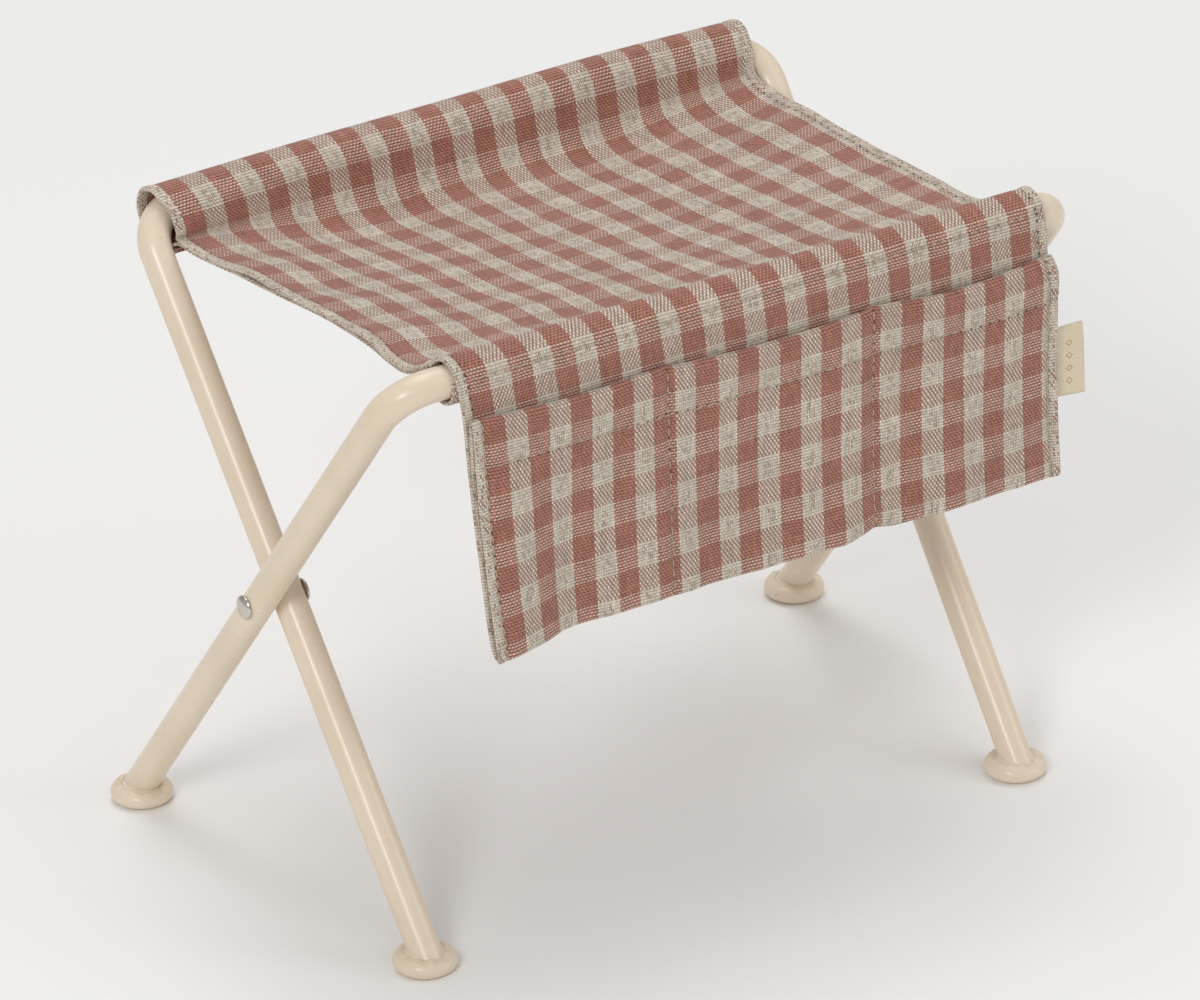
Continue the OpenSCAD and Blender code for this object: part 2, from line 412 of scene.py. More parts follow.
def new_group(name: str, inputs: dict[str, object], outputs: dict[str, str]) -> tuple:
    """An empty shader node group with named sockets.

    Args:
        name: The group's name.
        inputs: Each input's name and default: a number, a colour, or "vector".
        outputs: Each output's name and kind: "Float" or "Color".

    Returns:
        The group, its node builder, the inputs' sockets by name, and its output node.
    """
    group = bpy.data.node_groups.new(name, "ShaderNodeTree")
    for key, default in inputs.items():
        kind = "Float" if isinstance(default, float) else "Color"
        kind = "Vector" if default == "vector" else kind
        socket = group.interface.new_socket(key, in_out="INPUT", socket_type=f"NodeSocket{kind}")
        if kind != "Vector":
            socket.default_value = default
    for key, kind in outputs.items():
        group.interface.new_socket(key, in_out="OUTPUT", socket_type=f"NodeSocket{kind}")
    nodes = Nodes(group)
    entry, leave = nodes.add("NodeGroupInput"), nodes.add("NodeGroupOutput")
    return group, nodes, {key: entry.outputs[key] for key in inputs}, leave


def colour(r: float, g: float, b: float) -> tuple[float, float, float, float]:
    """A screen colour of 0 to 255 as the linear colour that shaders use."""
    c = np.array([r, g, b]) / 255
    linear = np.where(c <= 0.04045, c / 12.92, ((c + 0.055) / 1.055) ** 2.4)
    return (*(float(x) for x in linear), 1.0)


@dataclass(frozen=True)
class Weave:
    """A plain weave of yarn-dyed checks, drawn in the cloth's own millimetres.

    Warp yarns run down the cloth and are numbered across it, weft yarns run across. A
    warp yarn lies on top where the two numbers add up to an even number. A band of yarns
    is natural where the distance from the first band, divided by the period, has a
    fraction below the band's share, and rose elsewhere.
    """

    warp_pitch: float = 0.37
    weft_pitch: float = 0.56
    period_across: float = 8.85
    period_down: float = 8.75
    share: float = 0.49

    def group(self) -> bpy.types.NodeTree:
        """Builds the shader group.

        Returns:
            A group that puts out the cloth's colour and the height of its yarns.
        """
        group, n, i, leave = new_group(
            "woven check",
            {
                "Cloth": "vector",
                "Rose": colour(190, 130, 112),
                "Natural": colour(221, 209, 193),
                # painted shade colour for the gaps between the yarns
                "Shaded hole": colour(62, 38, 28),
                "Across": 0.0,
                "Down": 0.0,
                "Edge": 0.0,
            },
            {"Color": "Color", "Height": "Float"},
        )
        split = n.add("ShaderNodeSeparateXYZ")
        n.feed(split.inputs[0], i["Cloth"])
        u, v = split.outputs[0], split.outputs[1]
        # yarns wander a little
        wander = n.math("SUBTRACT", n.noise(i["Cloth"], 0.13, 1.0), 0.5)
        v = n.math("MULTIPLY_ADD", wander, 0.5, v)
        row = n.math("DIVIDE", v, self.weft_pitch)
        fv = n.math("SUBTRACT", n.math("FRACT", row), 0.5)
        # floats lean with the yarn's twist
        leaning = n.math("MULTIPLY_ADD", fv, 0.16, u)
        column = n.math("DIVIDE", leaning, self.warp_pitch)
        fu = n.math("SUBTRACT", n.math("FRACT", column), 0.5)
        iu, iv = n.math("FLOOR", column), n.math("FLOOR", row)
        odd = n.math("PINGPONG", n.math("ADD", iu, iv), 1.0)

        def band(yarn: object, pitch: float, period: float, start: object) -> tuple:
            """Whether a yarn is in a dyed band, and its place in the period."""
            place = n.math("MULTIPLY", n.math("ADD", yarn, 0.5), pitch)
            phase = n.math("FRACT", n.math("DIVIDE", n.math("SUBTRACT", place, start), period))
            return n.math("LESS_THAN", phase, self.share), phase

        warp_band, warp_phase = band(iu, self.warp_pitch, self.period_across, i["Across"])
        weft_band, weft_phase = band(iv, self.weft_pitch, self.period_down, i["Down"])
        # the turned edge is natural with rose flecks
        warp_band = n.math("MAXIMUM", warp_band, i["Edge"])
        plain = n.math("LESS_THAN", n.random(n.vector(iu, iv, 5.0)), 0.78)
        weft_band = self.choose(n, i["Edge"], weft_band, plain)
        au, av = n.math("ABSOLUTE", fu), n.math("ABSOLUTE", fv)
        # where the weft is on top it shows as a low dash, with painted shade in the gaps above and below it
        dash = n.math("MULTIPLY", odd, n.math("SUBTRACT", 1.0, n.ramp(av, 0.15, 0.27)))
        gap_shade = n.math("MULTIPLY", odd, n.ramp(av, 0.22, 0.36))
        gap_shade = n.math("MULTIPLY", gap_shade, n.math("SUBTRACT", 1.0, n.ramp(au, 0.24, 0.46)))
        natural = self.choose(n, dash, warp_band, weft_band)
        round_u = n.math("COSINE", n.math("MULTIPLY", fu, math.pi))
        round_v = n.math("COSINE", n.math("MULTIPLY", fv, math.pi))
        warp_height = n.math("MULTIPLY", round_u, n.math("MULTIPLY_ADD", round_v, 0.5, 0.5))
        weft_height = n.math("MULTIPLY", round_v, 0.45)
        height = self.choose(n, odd, warp_height, weft_height)
        # in the middle of each natural check the yarns part and leave small slits, filled with painted
        # shade
        both = n.math("MULTIPLY", warp_band, weft_band)
        middle_u = n.math("COMPARE", warp_phase, self.share / 2, 0.12)
        middle_v = n.math("COMPARE", weft_phase, self.share / 2, 0.16)
        middle = n.math("MULTIPLY", n.math("MULTIPLY", middle_u, middle_v), both)
        mixed = n.math("MULTIPLY", n.math("SUBTRACT", 1.0, warp_band), weft_band)
        # painted shade in the gaps between the yarns: strongest in rose checks, with a random strength in
        # each cell
        strength = n.math("MULTIPLY_ADD", both, -0.75, 1.4)
        strength = n.math("MULTIPLY_ADD", mixed, -0.35, strength)
        pale = n.math("MULTIPLY", warp_band, n.math("SUBTRACT", 1.0, weft_band))
        strength = n.math("MULTIPLY_ADD", pale, -0.15, strength)
        lot = n.random(n.vector(iu, iv, 3.0))
        chance = n.math("MULTIPLY_ADD", lot, 1.1, 0.4)
        shaded_hole = n.math("MULTIPLY", n.math("MULTIPLY", gap_shade, strength), chance, clamp=True)
        shaded_slit = n.math("MULTIPLY", n.ramp(au, 0.22, 0.4), n.ramp(lot, 0.5, 0.75))
        shaded_slit = n.math("MULTIPLY", shaded_slit, n.math("SUBTRACT", 1.0, n.ramp(av, 0.22, 0.42)))
        shaded_slit = n.math("MULTIPLY", shaded_slit, middle)
        shaded_hole = n.math("MAXIMUM", shaded_hole, shaded_slit)
        # each yarn has its own shade and thick places
        warp_place = n.vector(n.math("MULTIPLY", iu, 3.7), n.math("MULTIPLY", v, 0.25), 1.0)
        weft_place = n.vector(n.math("MULTIPLY", u, 0.25), n.math("MULTIPLY", iv, 3.1), 9.0)
        shade = self.choose(n, dash, n.noise(warp_place, 1.0, 2.0), n.noise(weft_place, 1.0, 2.0))
        yarn = n.math("MULTIPLY_ADD", shade, 1.1, 0.46)
        fleck = n.ramp(n.random(n.vector(iu, iv, 8.0)), 0.86, 0.99)
        yarn = n.math("MULTIPLY_ADD", fleck, 0.14, yarn)
        patch = n.math("MULTIPLY_ADD", n.noise(i["Cloth"], 0.05, 2.0), 0.2, 0.9)
        # painted light and shade on the yarns: a warp float is lighter on its crown and darker towards its
        # sides and ends; a weft float gets one flat level
        swing = n.math("SUBTRACT", n.math("MULTIPLY", round_u, round_v), 0.405)
        lit = n.math("MULTIPLY_ADD", swing, n.math("MULTIPLY_ADD", warp_band, 0.36, 0.4), 0.76)
        low = n.math("MULTIPLY_ADD", weft_band, 0.12, 0.76)
        lit = self.choose(n, odd, lit, low)
        lit = n.math("MULTIPLY", n.math("MULTIPLY", lit, yarn), patch)
        base = n.mix(natural, i["Rose"], i["Natural"])
        base = n.mix(1.0, base, n.vector(lit, lit, lit), "MULTIPLY")
        # painted shade: the dark colour seen in the gaps between the yarns, warm brown in natural checks
        # outside the slits
        deep = n.mix(n.math("MULTIPLY", pale, 0.3), i["Shaded hole"], i["Rose"])
        warm = n.math("MULTIPLY", both, n.math("SUBTRACT", 1.0, shaded_slit))
        deep = n.mix(warm, deep, colour(116, 92, 72))
        base = n.mix(shaded_hole, base, deep)
        n.feed(leave.inputs["Color"], base)
        n.feed(leave.inputs["Height"], n.math("MULTIPLY_ADD", shaded_hole, -0.5, height))
        return group

    @staticmethod
    def choose(n: Nodes, share: object, a: object, b: object) -> bpy.types.NodeSocket:
        """Mixes two numbers: a where share is 0, b where it is 1."""
        node = n.add("ShaderNodeMix", data_type="FLOAT")
        for socket, value in zip(node.inputs[:4], (share, None, a, b), strict=True):
            n.feed(socket, value)
        return node.outputs[0]


def needle_group() -> bpy.types.NodeTree:
    """A row of needle holes along a straight line on the cloth.

    A point lies in one of the holes where its distance from the line is small and its distance
    along it, divided by the stitch pitch, is near a whole number; the holes are painted shade.
    The cloth is painted a little darker all along the line, as shade in the groove where the
    stitches pull it in.

    Returns:
        The shader group.
    """
    group, n, i, leave = new_group(
        "needle holes",
        {"Off line": 0.0, "Along": 0.0, "Pitch": 2.1, "Start": 0.0, "Length": 100.0},
        {"Shaded hole": "Float", "Shade": "Float"},
    )
    away = n.math("ABSOLUTE", i["Off line"])
    after = n.math("SUBTRACT", i["Along"], i["Start"])
    steps = n.math("DIVIDE", after, i["Pitch"])
    off = n.math("ABSOLUTE", n.math("SUBTRACT", steps, n.math("ROUND", steps)))
    off = n.math("MULTIPLY", off, i["Pitch"])
    begun = n.math("GREATER_THAN", after, 0.0)
    span = n.math("MULTIPLY", begun, n.math("LESS_THAN", after, i["Length"]))
    distance = n.math("SQRT", n.math("ADD", n.math("POWER", away, 2.0), n.math("POWER", off, 2.0)))
    shaded_hole = n.math("MULTIPLY", n.math("SUBTRACT", 1.0, n.ramp(distance, 0.16, 0.36)), span)
    line = n.math("MULTIPLY", n.math("SUBTRACT", 1.0, n.ramp(away, 0.15, 0.7)), span)
    n.feed(leave.inputs["Shaded hole"], shaded_hole)
    n.feed(leave.inputs["Shade"], line)
    return group


@dataclass(frozen=True)
class SeamLine:
    """A sewn line on a cloth, in the cloth's millimetres."""

    at: float
    start: float
    length: float
    runs_across: bool
    pitch: float = 2.1


@dataclass(frozen=True)
class Gingham:
    """Yarn-dyed check in rose and natural."""

    name: str
    across: float
    down: float
    seams: tuple[SeamLine, ...] = ()
    width: float = 124.2
    turned_in: float = 1.45

    def build(self, weave: bpy.types.NodeTree, needle: bpy.types.NodeTree) -> bpy.types.Material:
        """Builds the material.

        Args:
            weave: The woven check group.
            needle: The needle holes group.

        Returns:
            The material.
        """
        material, n, shader = new_material(self.name)
        uv = n.add("ShaderNodeUVMap", uv_map="cloth")
        check = n.add("ShaderNodeGroup", node_tree=weave)
        n.feed(check.inputs["Cloth"], uv.outputs[0])
        check.inputs["Across"].default_value = self.across
        check.inputs["Down"].default_value = self.down
        base, height = check.outputs["Color"], check.outputs["Height"]
        if self.seams:
            base = self.sewn(n, uv.outputs[0], check, base, needle)
        relief(n, shader, height, 0.7, 0.12)
        n.feed(shader.inputs["Base Color"], base)
        shader.inputs["Roughness"].default_value = 0.88
        shader.inputs["Specular IOR Level"].default_value = 0.25
        shader.inputs["Sheen Weight"].default_value = 0.18
        shader.inputs["Sheen Roughness"].default_value = 0.5
        return material

    def sewn(
        self,
        n: Nodes,
        place: object,
        check: bpy.types.Node,
        base: object,
        needle: bpy.types.NodeTree,
    ) -> bpy.types.NodeSocket:
        """Marks the turned edges, and paints shade along each seam's groove and in its needle holes.

        Args:
            n: The material's node builder.
            place: The cloth's own coordinates.
            check: The woven check node.
            base: The cloth's colour.
            needle: The needle holes group.

        Returns:
            The colour with painted shade along the seams and in the holes.
        """
        split = n.add("ShaderNodeSeparateXYZ")
        n.feed(split.inputs[0], place)
        u, v = split.outputs[0], split.outputs[1]
        middle = self.width / 2
        out = n.math("ABSOLUTE", n.math("SUBTRACT", u, middle))
        n.feed(check.inputs["Edge"], n.math("GREATER_THAN", out, middle - self.turned_in))
        for seam in self.seams:
            row = n.add("ShaderNodeGroup", node_tree=needle)
            off, along = (v, u) if seam.runs_across else (u, v)
            n.feed(row.inputs["Off line"], n.math("SUBTRACT", off, seam.at))
            n.feed(row.inputs["Along"], along)
            row.inputs["Start"].default_value = seam.start
            row.inputs["Length"].default_value = seam.length
            row.inputs["Pitch"].default_value = seam.pitch
            # painted shade along the seam's groove and in its needle holes
            shade = n.math("MULTIPLY", row.outputs["Shade"], 0.16)
            shaded_hole = n.math("MULTIPLY", row.outputs["Shaded hole"], 0.8)
            base = n.mix(shade, base, colour(104, 72, 56))
            base = n.mix(shaded_hole, base, colour(48, 34, 28))
        return base


def new_material(name: str) -> tuple:
    """A new material with only a Principled shader.

    Args:
        name: The material's name.

    Returns:
        The material, its node builder and its Principled node.
    """
    material = bpy.data.materials.new(name)
    material.use_nodes = True
    n = Nodes(material.node_tree)
    shader = next(x for x in material.node_tree.nodes if x.type == "BSDF_PRINCIPLED")
    return material, n, shader


@dataclass(frozen=True)
class PowderCoat:
    """Cream powder coat: a faint orange peel, slightly uneven gloss and tiny dust nibs."""

    name: str = "cream powder coat"
    tint: tuple[float, float, float, float] = field(default_factory=lambda: colour(231, 215, 193))

    def build(self) -> bpy.types.Material:
        """Builds the material."""
        material, n, shader = new_material(self.name)
        place = n.add("ShaderNodeTexCoord").outputs["Object"]
        cloud = n.noise(place, 60.0, 3.0)
        base = n.mix(n.ramp(cloud, 0.3, 0.75), self.tint, colour(225, 208, 184))
        nib = n.noise(place, 900.0, 1.0)
        base = n.mix(n.math("MULTIPLY", n.ramp(nib, 0.76, 0.84), 0.35), base, colour(150, 128, 100))
        peel = n.noise(place, 620.0, 2.0, 0.55)
        relief(n, shader, peel, 0.16, 0.1)
        n.feed(shader.inputs["Base Color"], base)
        n.feed(shader.inputs["Roughness"], n.math("MULTIPLY_ADD", cloud, 0.1, 0.23))
        shader.inputs["IOR"].default_value = 1.5
        return material


@dataclass(frozen=True)
class Nickel:
    """Bright nickel with fine tumbling marks and a few dull spots."""

    name: str = "nickel rivet"

    def build(self) -> bpy.types.Material:
        """Builds the material."""
        material, n, shader = new_material(self.name)
        place = n.add("ShaderNodeTexCoord").outputs["Object"]
        dull = n.ramp(n.noise(place, 420.0, 2.0), 0.4, 0.75)
        n.feed(shader.inputs["Base Color"], n.mix(dull, colour(212, 206, 198), colour(186, 176, 164)))
        n.feed(shader.inputs["Roughness"], n.math("MULTIPLY_ADD", dull, 0.12, 0.14))
        relief(n, shader, n.noise(place, 1100.0, 2.0), 0.1, 0.04)
        shader.inputs["Metallic"].default_value = 1.0
        return material


@dataclass(frozen=True)
class Thread:
    """Twisted sewing thread: plies that wind round it as a sine wave, with painted shade in the grooves
    between them.
    """

    name: str
    tint: tuple[float, float, float, float]
    twist: float = 14.0

    def build(self) -> bpy.types.Material:
        """Builds the material."""
        material, n, shader = new_material(self.name)
        uv = n.add("ShaderNodeUVMap", uv_map="cloth")
        split = n.add("ShaderNodeSeparateXYZ")
        n.feed(split.inputs[0], uv.outputs[0])
        along = n.math("MULTIPLY", split.outputs[0], self.twist)
        ply = n.math("SINE", n.math("MULTIPLY_ADD", split.outputs[1], 2 * math.pi, along))
        share = n.math("MULTIPLY_ADD", ply, 0.5, 0.5)
        groove_shade = tuple(x * 0.55 for x in self.tint[:3]) + (1.0,)
        n.feed(shader.inputs["Base Color"], n.mix(share, groove_shade, self.tint))
        relief(n, shader, share, 0.6, 0.05)
        shader.inputs["Roughness"].default_value = 0.7
        return material


@dataclass(frozen=True)
class Tape:
    """Cream twill tape with a row of small rose diamonds."""

    name: str = "cream tape"
    rib_pitch: float = 0.62
    thread_pitch: float = 0.34
    motif_at: float = 5.6
    motif_pitch: float = 2.4
    motif_span: tuple[float, float] = (1.6, 11.8)

    def build(self) -> bpy.types.Material:
        """Builds the material."""
        material, n, shader = new_material(self.name)
        uv = n.add("ShaderNodeUVMap", uv_map="cloth")
        split = n.add("ShaderNodeSeparateXYZ")
        n.feed(split.inputs[0], uv.outputs[0])
        u, v = split.outputs[0], split.outputs[1]

        def from_middle(value: object, pitch: float) -> bpy.types.NodeSocket:
            """Distance from the middle of a rib, in ribs."""
            share = n.math("FRACT", n.math("DIVIDE", value, pitch))
            return n.math("ABSOLUTE", n.math("SUBTRACT", share, 0.5))

        rib = from_middle(n.math("ADD", u, n.math("MULTIPLY", v, 0.8)), self.rib_pitch)
        fine = from_middle(v, self.thread_pitch)
        height = n.math("ADD", rib, n.math("MULTIPLY", fine, 0.7))
        # painted light and shade: the cream is lighter where the ribs' relief is high and darker where it
        # is low
        base = n.mix(height, colour(202, 184, 152), colour(247, 235, 212))
        # a diamond's outline is where its two slopes add up to a fixed value
        du = n.math("ABSOLUTE", n.math("SUBTRACT", u, self.motif_at))
        dv = from_middle(n.math("ADD", v, 0.3), self.motif_pitch)
        diamond = n.math("ADD", n.math("DIVIDE", du, 0.75), n.math("DIVIDE", dv, 0.26))
        off = n.math("ABSOLUTE", n.math("SUBTRACT", diamond, 0.85))
        ring = n.math("SUBTRACT", 1.0, n.ramp(off, 0.1, 0.32))
        above = n.math("GREATER_THAN", v, self.motif_span[0])
        inside = n.math("MULTIPLY", above, n.math("LESS_THAN", v, self.motif_span[1]))
        mask = n.math("MULTIPLY", n.math("MULTIPLY", ring, inside), 0.7)
        base = n.mix(mask, base, colour(172, 112, 84))
        n.feed(shader.inputs["Base Color"], base)
        relief(n, shader, height, 0.8, 0.1)
        shader.inputs["Roughness"].default_value = 0.8
        return material


@dataclass
class Finishes:
    """Every material of the table, built once."""

    weave: Weave = field(default_factory=Weave)
    band_across: float = 5.9

    def __post_init__(self) -> None:
        """Builds the shared groups and the plain materials."""
        self.check = self.weave.group()
        self.needle = needle_group()
        self.coat = PowderCoat().build()
        self.nickel = Nickel().build()
        self.thread = Thread("beige thread", colour(204, 186, 158)).build()
        self.fray = Thread("loose yarn", colour(206, 196, 178)).build()
        self.tape = Tape().build()

    def gingham(self, name: str, across: float, down: float, seams: tuple = ()) -> bpy.types.Material:
        """A check cloth with its bands starting at the given places."""
        return Gingham(name, across, down, seams).build(self.check, self.needle)


# ---------------------------------------------------------------- where things are


@dataclass
class Rails:
    """Places read from the frame, in millimetres."""

    head: float = 1.1

    def __post_init__(self) -> None:
        """Reads the sleeves', rods' and flap's boxes."""
        box = {name: np.array([list(c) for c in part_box(name)]) / MM for name in frame["nodes"]}
        front, rear = box["front_sleeve"], box["rear_sleeve"]
        self.front = front.mean(0)[1:]
        self.rear = rear.mean(0)[1:]
        self.sleeve_r = float(front[1, 2] - front[0, 2]) / 2
        self.middle_y = float(self.front[0] + self.rear[0]) / 2
        self.flap_bottom = float(box["flap_panel"][0, 2])
        self.label = box["side_label"]
        self.box = box
        hinge = next(j for j in frame["joints"] if j["name"] == "flap_swing")
        self.hinge = np.array(hinge["pos_m"]) / MM
        fold = next(j for j in frame["joints"] if j["name"] == "frame_fold")
        self.pivot = np.array(fold["pos_m"]) / MM
        rivet = box["right_rivet"]
        self.seats = (float(rivet[0, 0]) + self.head, float(rivet[1, 0]) - self.head)


@dataclass
class ClothPath:
    """One sheet's middle surface: cross-sections blended from the left edge to the right.

    A point is at (x, y, z), where y and z come from sections that are splines down the
    cloth, joined by splines across it, and x runs from the left edge's line to the
    right edge's.
    """

    sections: Array
    left: Array
    right: Array
    step_down: float = 0.7
    step_across: float = 0.72
    start_length: float = 0.0
    cloth_width: float = 124.2

    def build(self) -> tuple[Array, Array, Array]:
        """Works out the surface.

        Returns:
            The grid of points, the cloth coordinates of the grid, and the places along
            the keys of the rows.
        """
        t, lengths = even_places(self.sections[len(self.sections) // 2], self.step_down)
        rows = spline(np.moveaxis(self.sections, 1, 0), t)
        left = spline(self.left[:, None], t)[:, 0]
        right = spline(self.right[:, None], t)[:, 0]
        width = float(np.mean(right - left))
        count = int(round(width / self.step_across)) + 1
        s = np.linspace(0, 1, count)
        yz = spline(np.moveaxis(rows, 1, 0), s * (len(self.sections) - 1))
        yz = np.moveaxis(yz, 0, 1)
        x = left[:, None] + (right - left)[:, None] * s
        points = np.concatenate([x[..., None], yz], -1)
        u = np.broadcast_to(s * self.cloth_width, x.shape)
        v = np.broadcast_to((lengths + self.start_length)[:, None], x.shape)
        return points, np.stack([u, v], -1), t


def offset(points: Array, height: Array) -> Array:
    """Moves a grid of points along its own normals by the heights given."""
    across = np.gradient(points, axis=1)
    normal = unit(np.cross(across, np.gradient(points, axis=0)))
    return points + normal * height[..., None]


@dataclass
class Stitches:
    """A row of stitches laid on a line on a cloth: each is a short thread that dips in.

    A stitch follows the line for its length, its height over the cloth is that of half a
    sine wave, and round it the thread's section is a hexagon.
    """

    pitch: float = 2.1
    length: float = 1.55
    thickness: float = 0.3
    lift: float = 0.07
    slant: float = 0.12
    dip: float = 0.1
    unevenness: float = 0.12
    sides: int = 6

    def build(
        self, name: str, line: Array, normals: Array, material: bpy.types.Material
    ) -> bpy.types.Object:
        """Builds the row.

        Args:
            name: The piece's name.
            line: Points along the cloth's outer face.
            normals: The face's normal at each.
            material: The thread.

        Returns:
            The object.
        """
        run = np.r_[0, np.cumsum(np.linalg.norm(np.diff(line, axis=0), axis=1))]
        count = int((run[-1] - self.length) / self.pitch) + 1
        spare = (run[-1] - (count - 1) * self.pitch - self.length) / 2
        wobble = self.unevenness * np.sin(np.arange(count) * 2.4)
        starts = spare + np.arange(count) * self.pitch + wobble
        f = np.linspace(0, 1, 7)
        along = starts[:, None] + f[None] * self.length

        def at(values: Array) -> Array:
            """Values along the line at each stitch's places."""
            return np.stack([np.interp(along, run, values[:, k]) for k in range(3)], -1)

        centre, normal = at(line), unit(at(normals))
        tangent = unit(np.gradient(centre, axis=1))
        beside = unit(np.cross(normal, tangent))
        arch = np.sin(math.pi * f)[None, :, None]
        aside = (self.slant * (f - 0.5))[None, :, None]
        centre = centre + normal * (self.lift * arch - self.dip) + beside * aside
        angle = np.linspace(0, 2 * math.pi, self.sides, endpoint=False)
        # thin where it dips into the cloth
        r = self.thickness / 2 * (0.35 + 0.65 * np.sqrt(np.sin(math.pi * (0.04 + 0.92 * f))))
        outward = beside[:, :, None] * np.cos(angle)[:, None] + normal[:, :, None] * np.sin(angle)[:, None]
        ring = centre[:, :, None] + outward * r[None, :, None, None]
        one = strip_faces(len(f), self.sides, True)
        size = len(f) * self.sides
        first_of_each = (np.arange(count) * size)[:, None, None]
        quads = (one[None] + first_of_each).reshape(-1, 4)
        start = np.arange(self.sides)[::-1]
        end = size - self.sides + np.arange(self.sides)
        caps = (np.stack([start, end])[None] + first_of_each).reshape(-1, self.sides)
        round_it = (angle / (2 * math.pi))[None]
        uv = np.stack(np.broadcast_arrays(f[:, None] * self.length, round_it), -1)
        uv = np.broadcast_to(uv[None], (count, len(f), self.sides, 2)).reshape(-1, 2)
        obj = put_mesh(name, ring.reshape(-1, 3), [quads, caps], uv, [material])
        return obj


# ---------------------------------------------------------------- the pieces


@dataclass
class Bar:
    """A round bar bent into a rail and two legs, lying in one leaning plane.

    Half of its centreline is a straight rail from the middle, an arc, and a straight leg;
    the other half is its mirror image. Round each point is a circle square to the line.
    """

    rails: Rails
    node: str
    foot: str
    body: Body
    splay: float
    radius: float = 3.0
    bend: float = 7.7
    swell: float = 0.05
    seat_flat: float = 2.0
    seat_end: float = 5.0
    cut_in: float = 0.4
    sides: int = 48
    step: float = 0.8

    def centreline(self) -> tuple[Array, Array, Array, Array]:
        """Works out the line from the boxes of the bar and of its right foot.

        Returns:
            Points, unit tangents, how much each point is in a bend, and the right leg's
            direction.
        """
        low, high = self.rails.box[self.node]
        foot_low, foot_high = self.rails.box[self.foot]
        foot = np.array([*(foot_low + foot_high)[:2] / 2, foot_high[2]])
        rail_y = low[1] + self.radius if foot[1] > 0 else high[1] - self.radius
        corner = np.array([foot[0] - self.splay, rail_y, high[2] - self.radius - self.swell])
        leg, along = unit(foot - corner), np.array([1.0, 0.0, 0.0])
        down = unit(leg - leg[0] * along)
        turn = math.acos(float(leg[0]))
        reach = self.bend * math.tan(turn / 2)
        a = np.linspace(0, turn, 32)[:, None]
        bend_start = corner - reach * along
        arc = bend_start + self.bend * (np.sin(a) * along + (1 - np.cos(a)) * down)
        x = np.linspace(0, bend_start[0], int(bend_start[0] / self.step) + 1)[:-1, None]
        rail = bend_start + (x - bend_start[0]) * along
        length = float(np.linalg.norm(foot - corner)) - reach + self.radius
        d = np.linspace(0, length, int(length / self.step) + 1)[1:, None]
        points = np.concatenate([rail, arc, arc[-1] + d * leg])
        tangents = np.concatenate([0 * x + along, np.cos(a) * along + np.sin(a) * down, 0 * d + leg])
        bent = np.concatenate([0 * x, np.maximum(np.sin(math.pi * a / turn), 0) ** 0.5, 0 * d])
        mirror = np.array([-1.0, 1.0, 1.0])
        points = np.concatenate([points[:0:-1] * mirror, points])
        tangents = np.concatenate([tangents[:0:-1] * -mirror, tangents])
        return points, tangents, np.concatenate([bent[:0:-1], bent]), leg

    def build(self, material: bpy.types.Material) -> bpy.types.Object:
        """Builds the bar, cut level inside the feet and flattened under each rivet head.

        Args:
            material: Its finish.

        Returns:
            The object.
        """
        points, tangents, bent, leg = self.centreline()
        across = unit(np.cross(np.array([1.0, 0.0, 0.0]), leg))
        angle = np.linspace(0, 2 * math.pi, self.sides, endpoint=False)[None, :, None]
        beside = np.cross(tangents, across)[:, None]
        r = (self.radius + self.swell * bent)[:, None]
        ring = points[:, None] + r * (np.cos(angle) * across + np.sin(angle) * beside)
        # slide what is below the cut back along its leg
        cut = float(self.rails.box[self.foot][1, 2]) - self.cut_in
        back = np.sign(ring[..., :1]) * np.array([leg[0], 0, 0]) + np.array([0, leg[1], leg[2]])
        ring = ring + back * np.minimum(ring[..., 2:] - cut, 0) / -leg[2]
        from_pivot = np.abs((ring - self.rails.pivot)[..., 1:] @ leg[1:])
        seated = 1 - smooth(from_pivot, self.seat_flat, self.seat_end)
        x = np.abs(ring[..., 0])
        if self.body is Body.OUTER:
            flat = np.minimum(x, self.rails.seats[1])
        else:
            flat = np.maximum(x, self.rails.seats[0])
        ring[..., 0] = np.sign(ring[..., 0]) * (x + (flat - x) * seated)
        quads = strip_faces(len(points), self.sides, True)
        last = (len(points) - 1) * self.sides
        caps = np.stack([np.arange(self.sides)[::-1], last + np.arange(self.sides)])
        obj = put_mesh(f"{self.node}_bar", ring.reshape(-1, 3), [quads, caps], None, [material])
        return settle(merged(obj), self.body, "powder_coat", self.node)


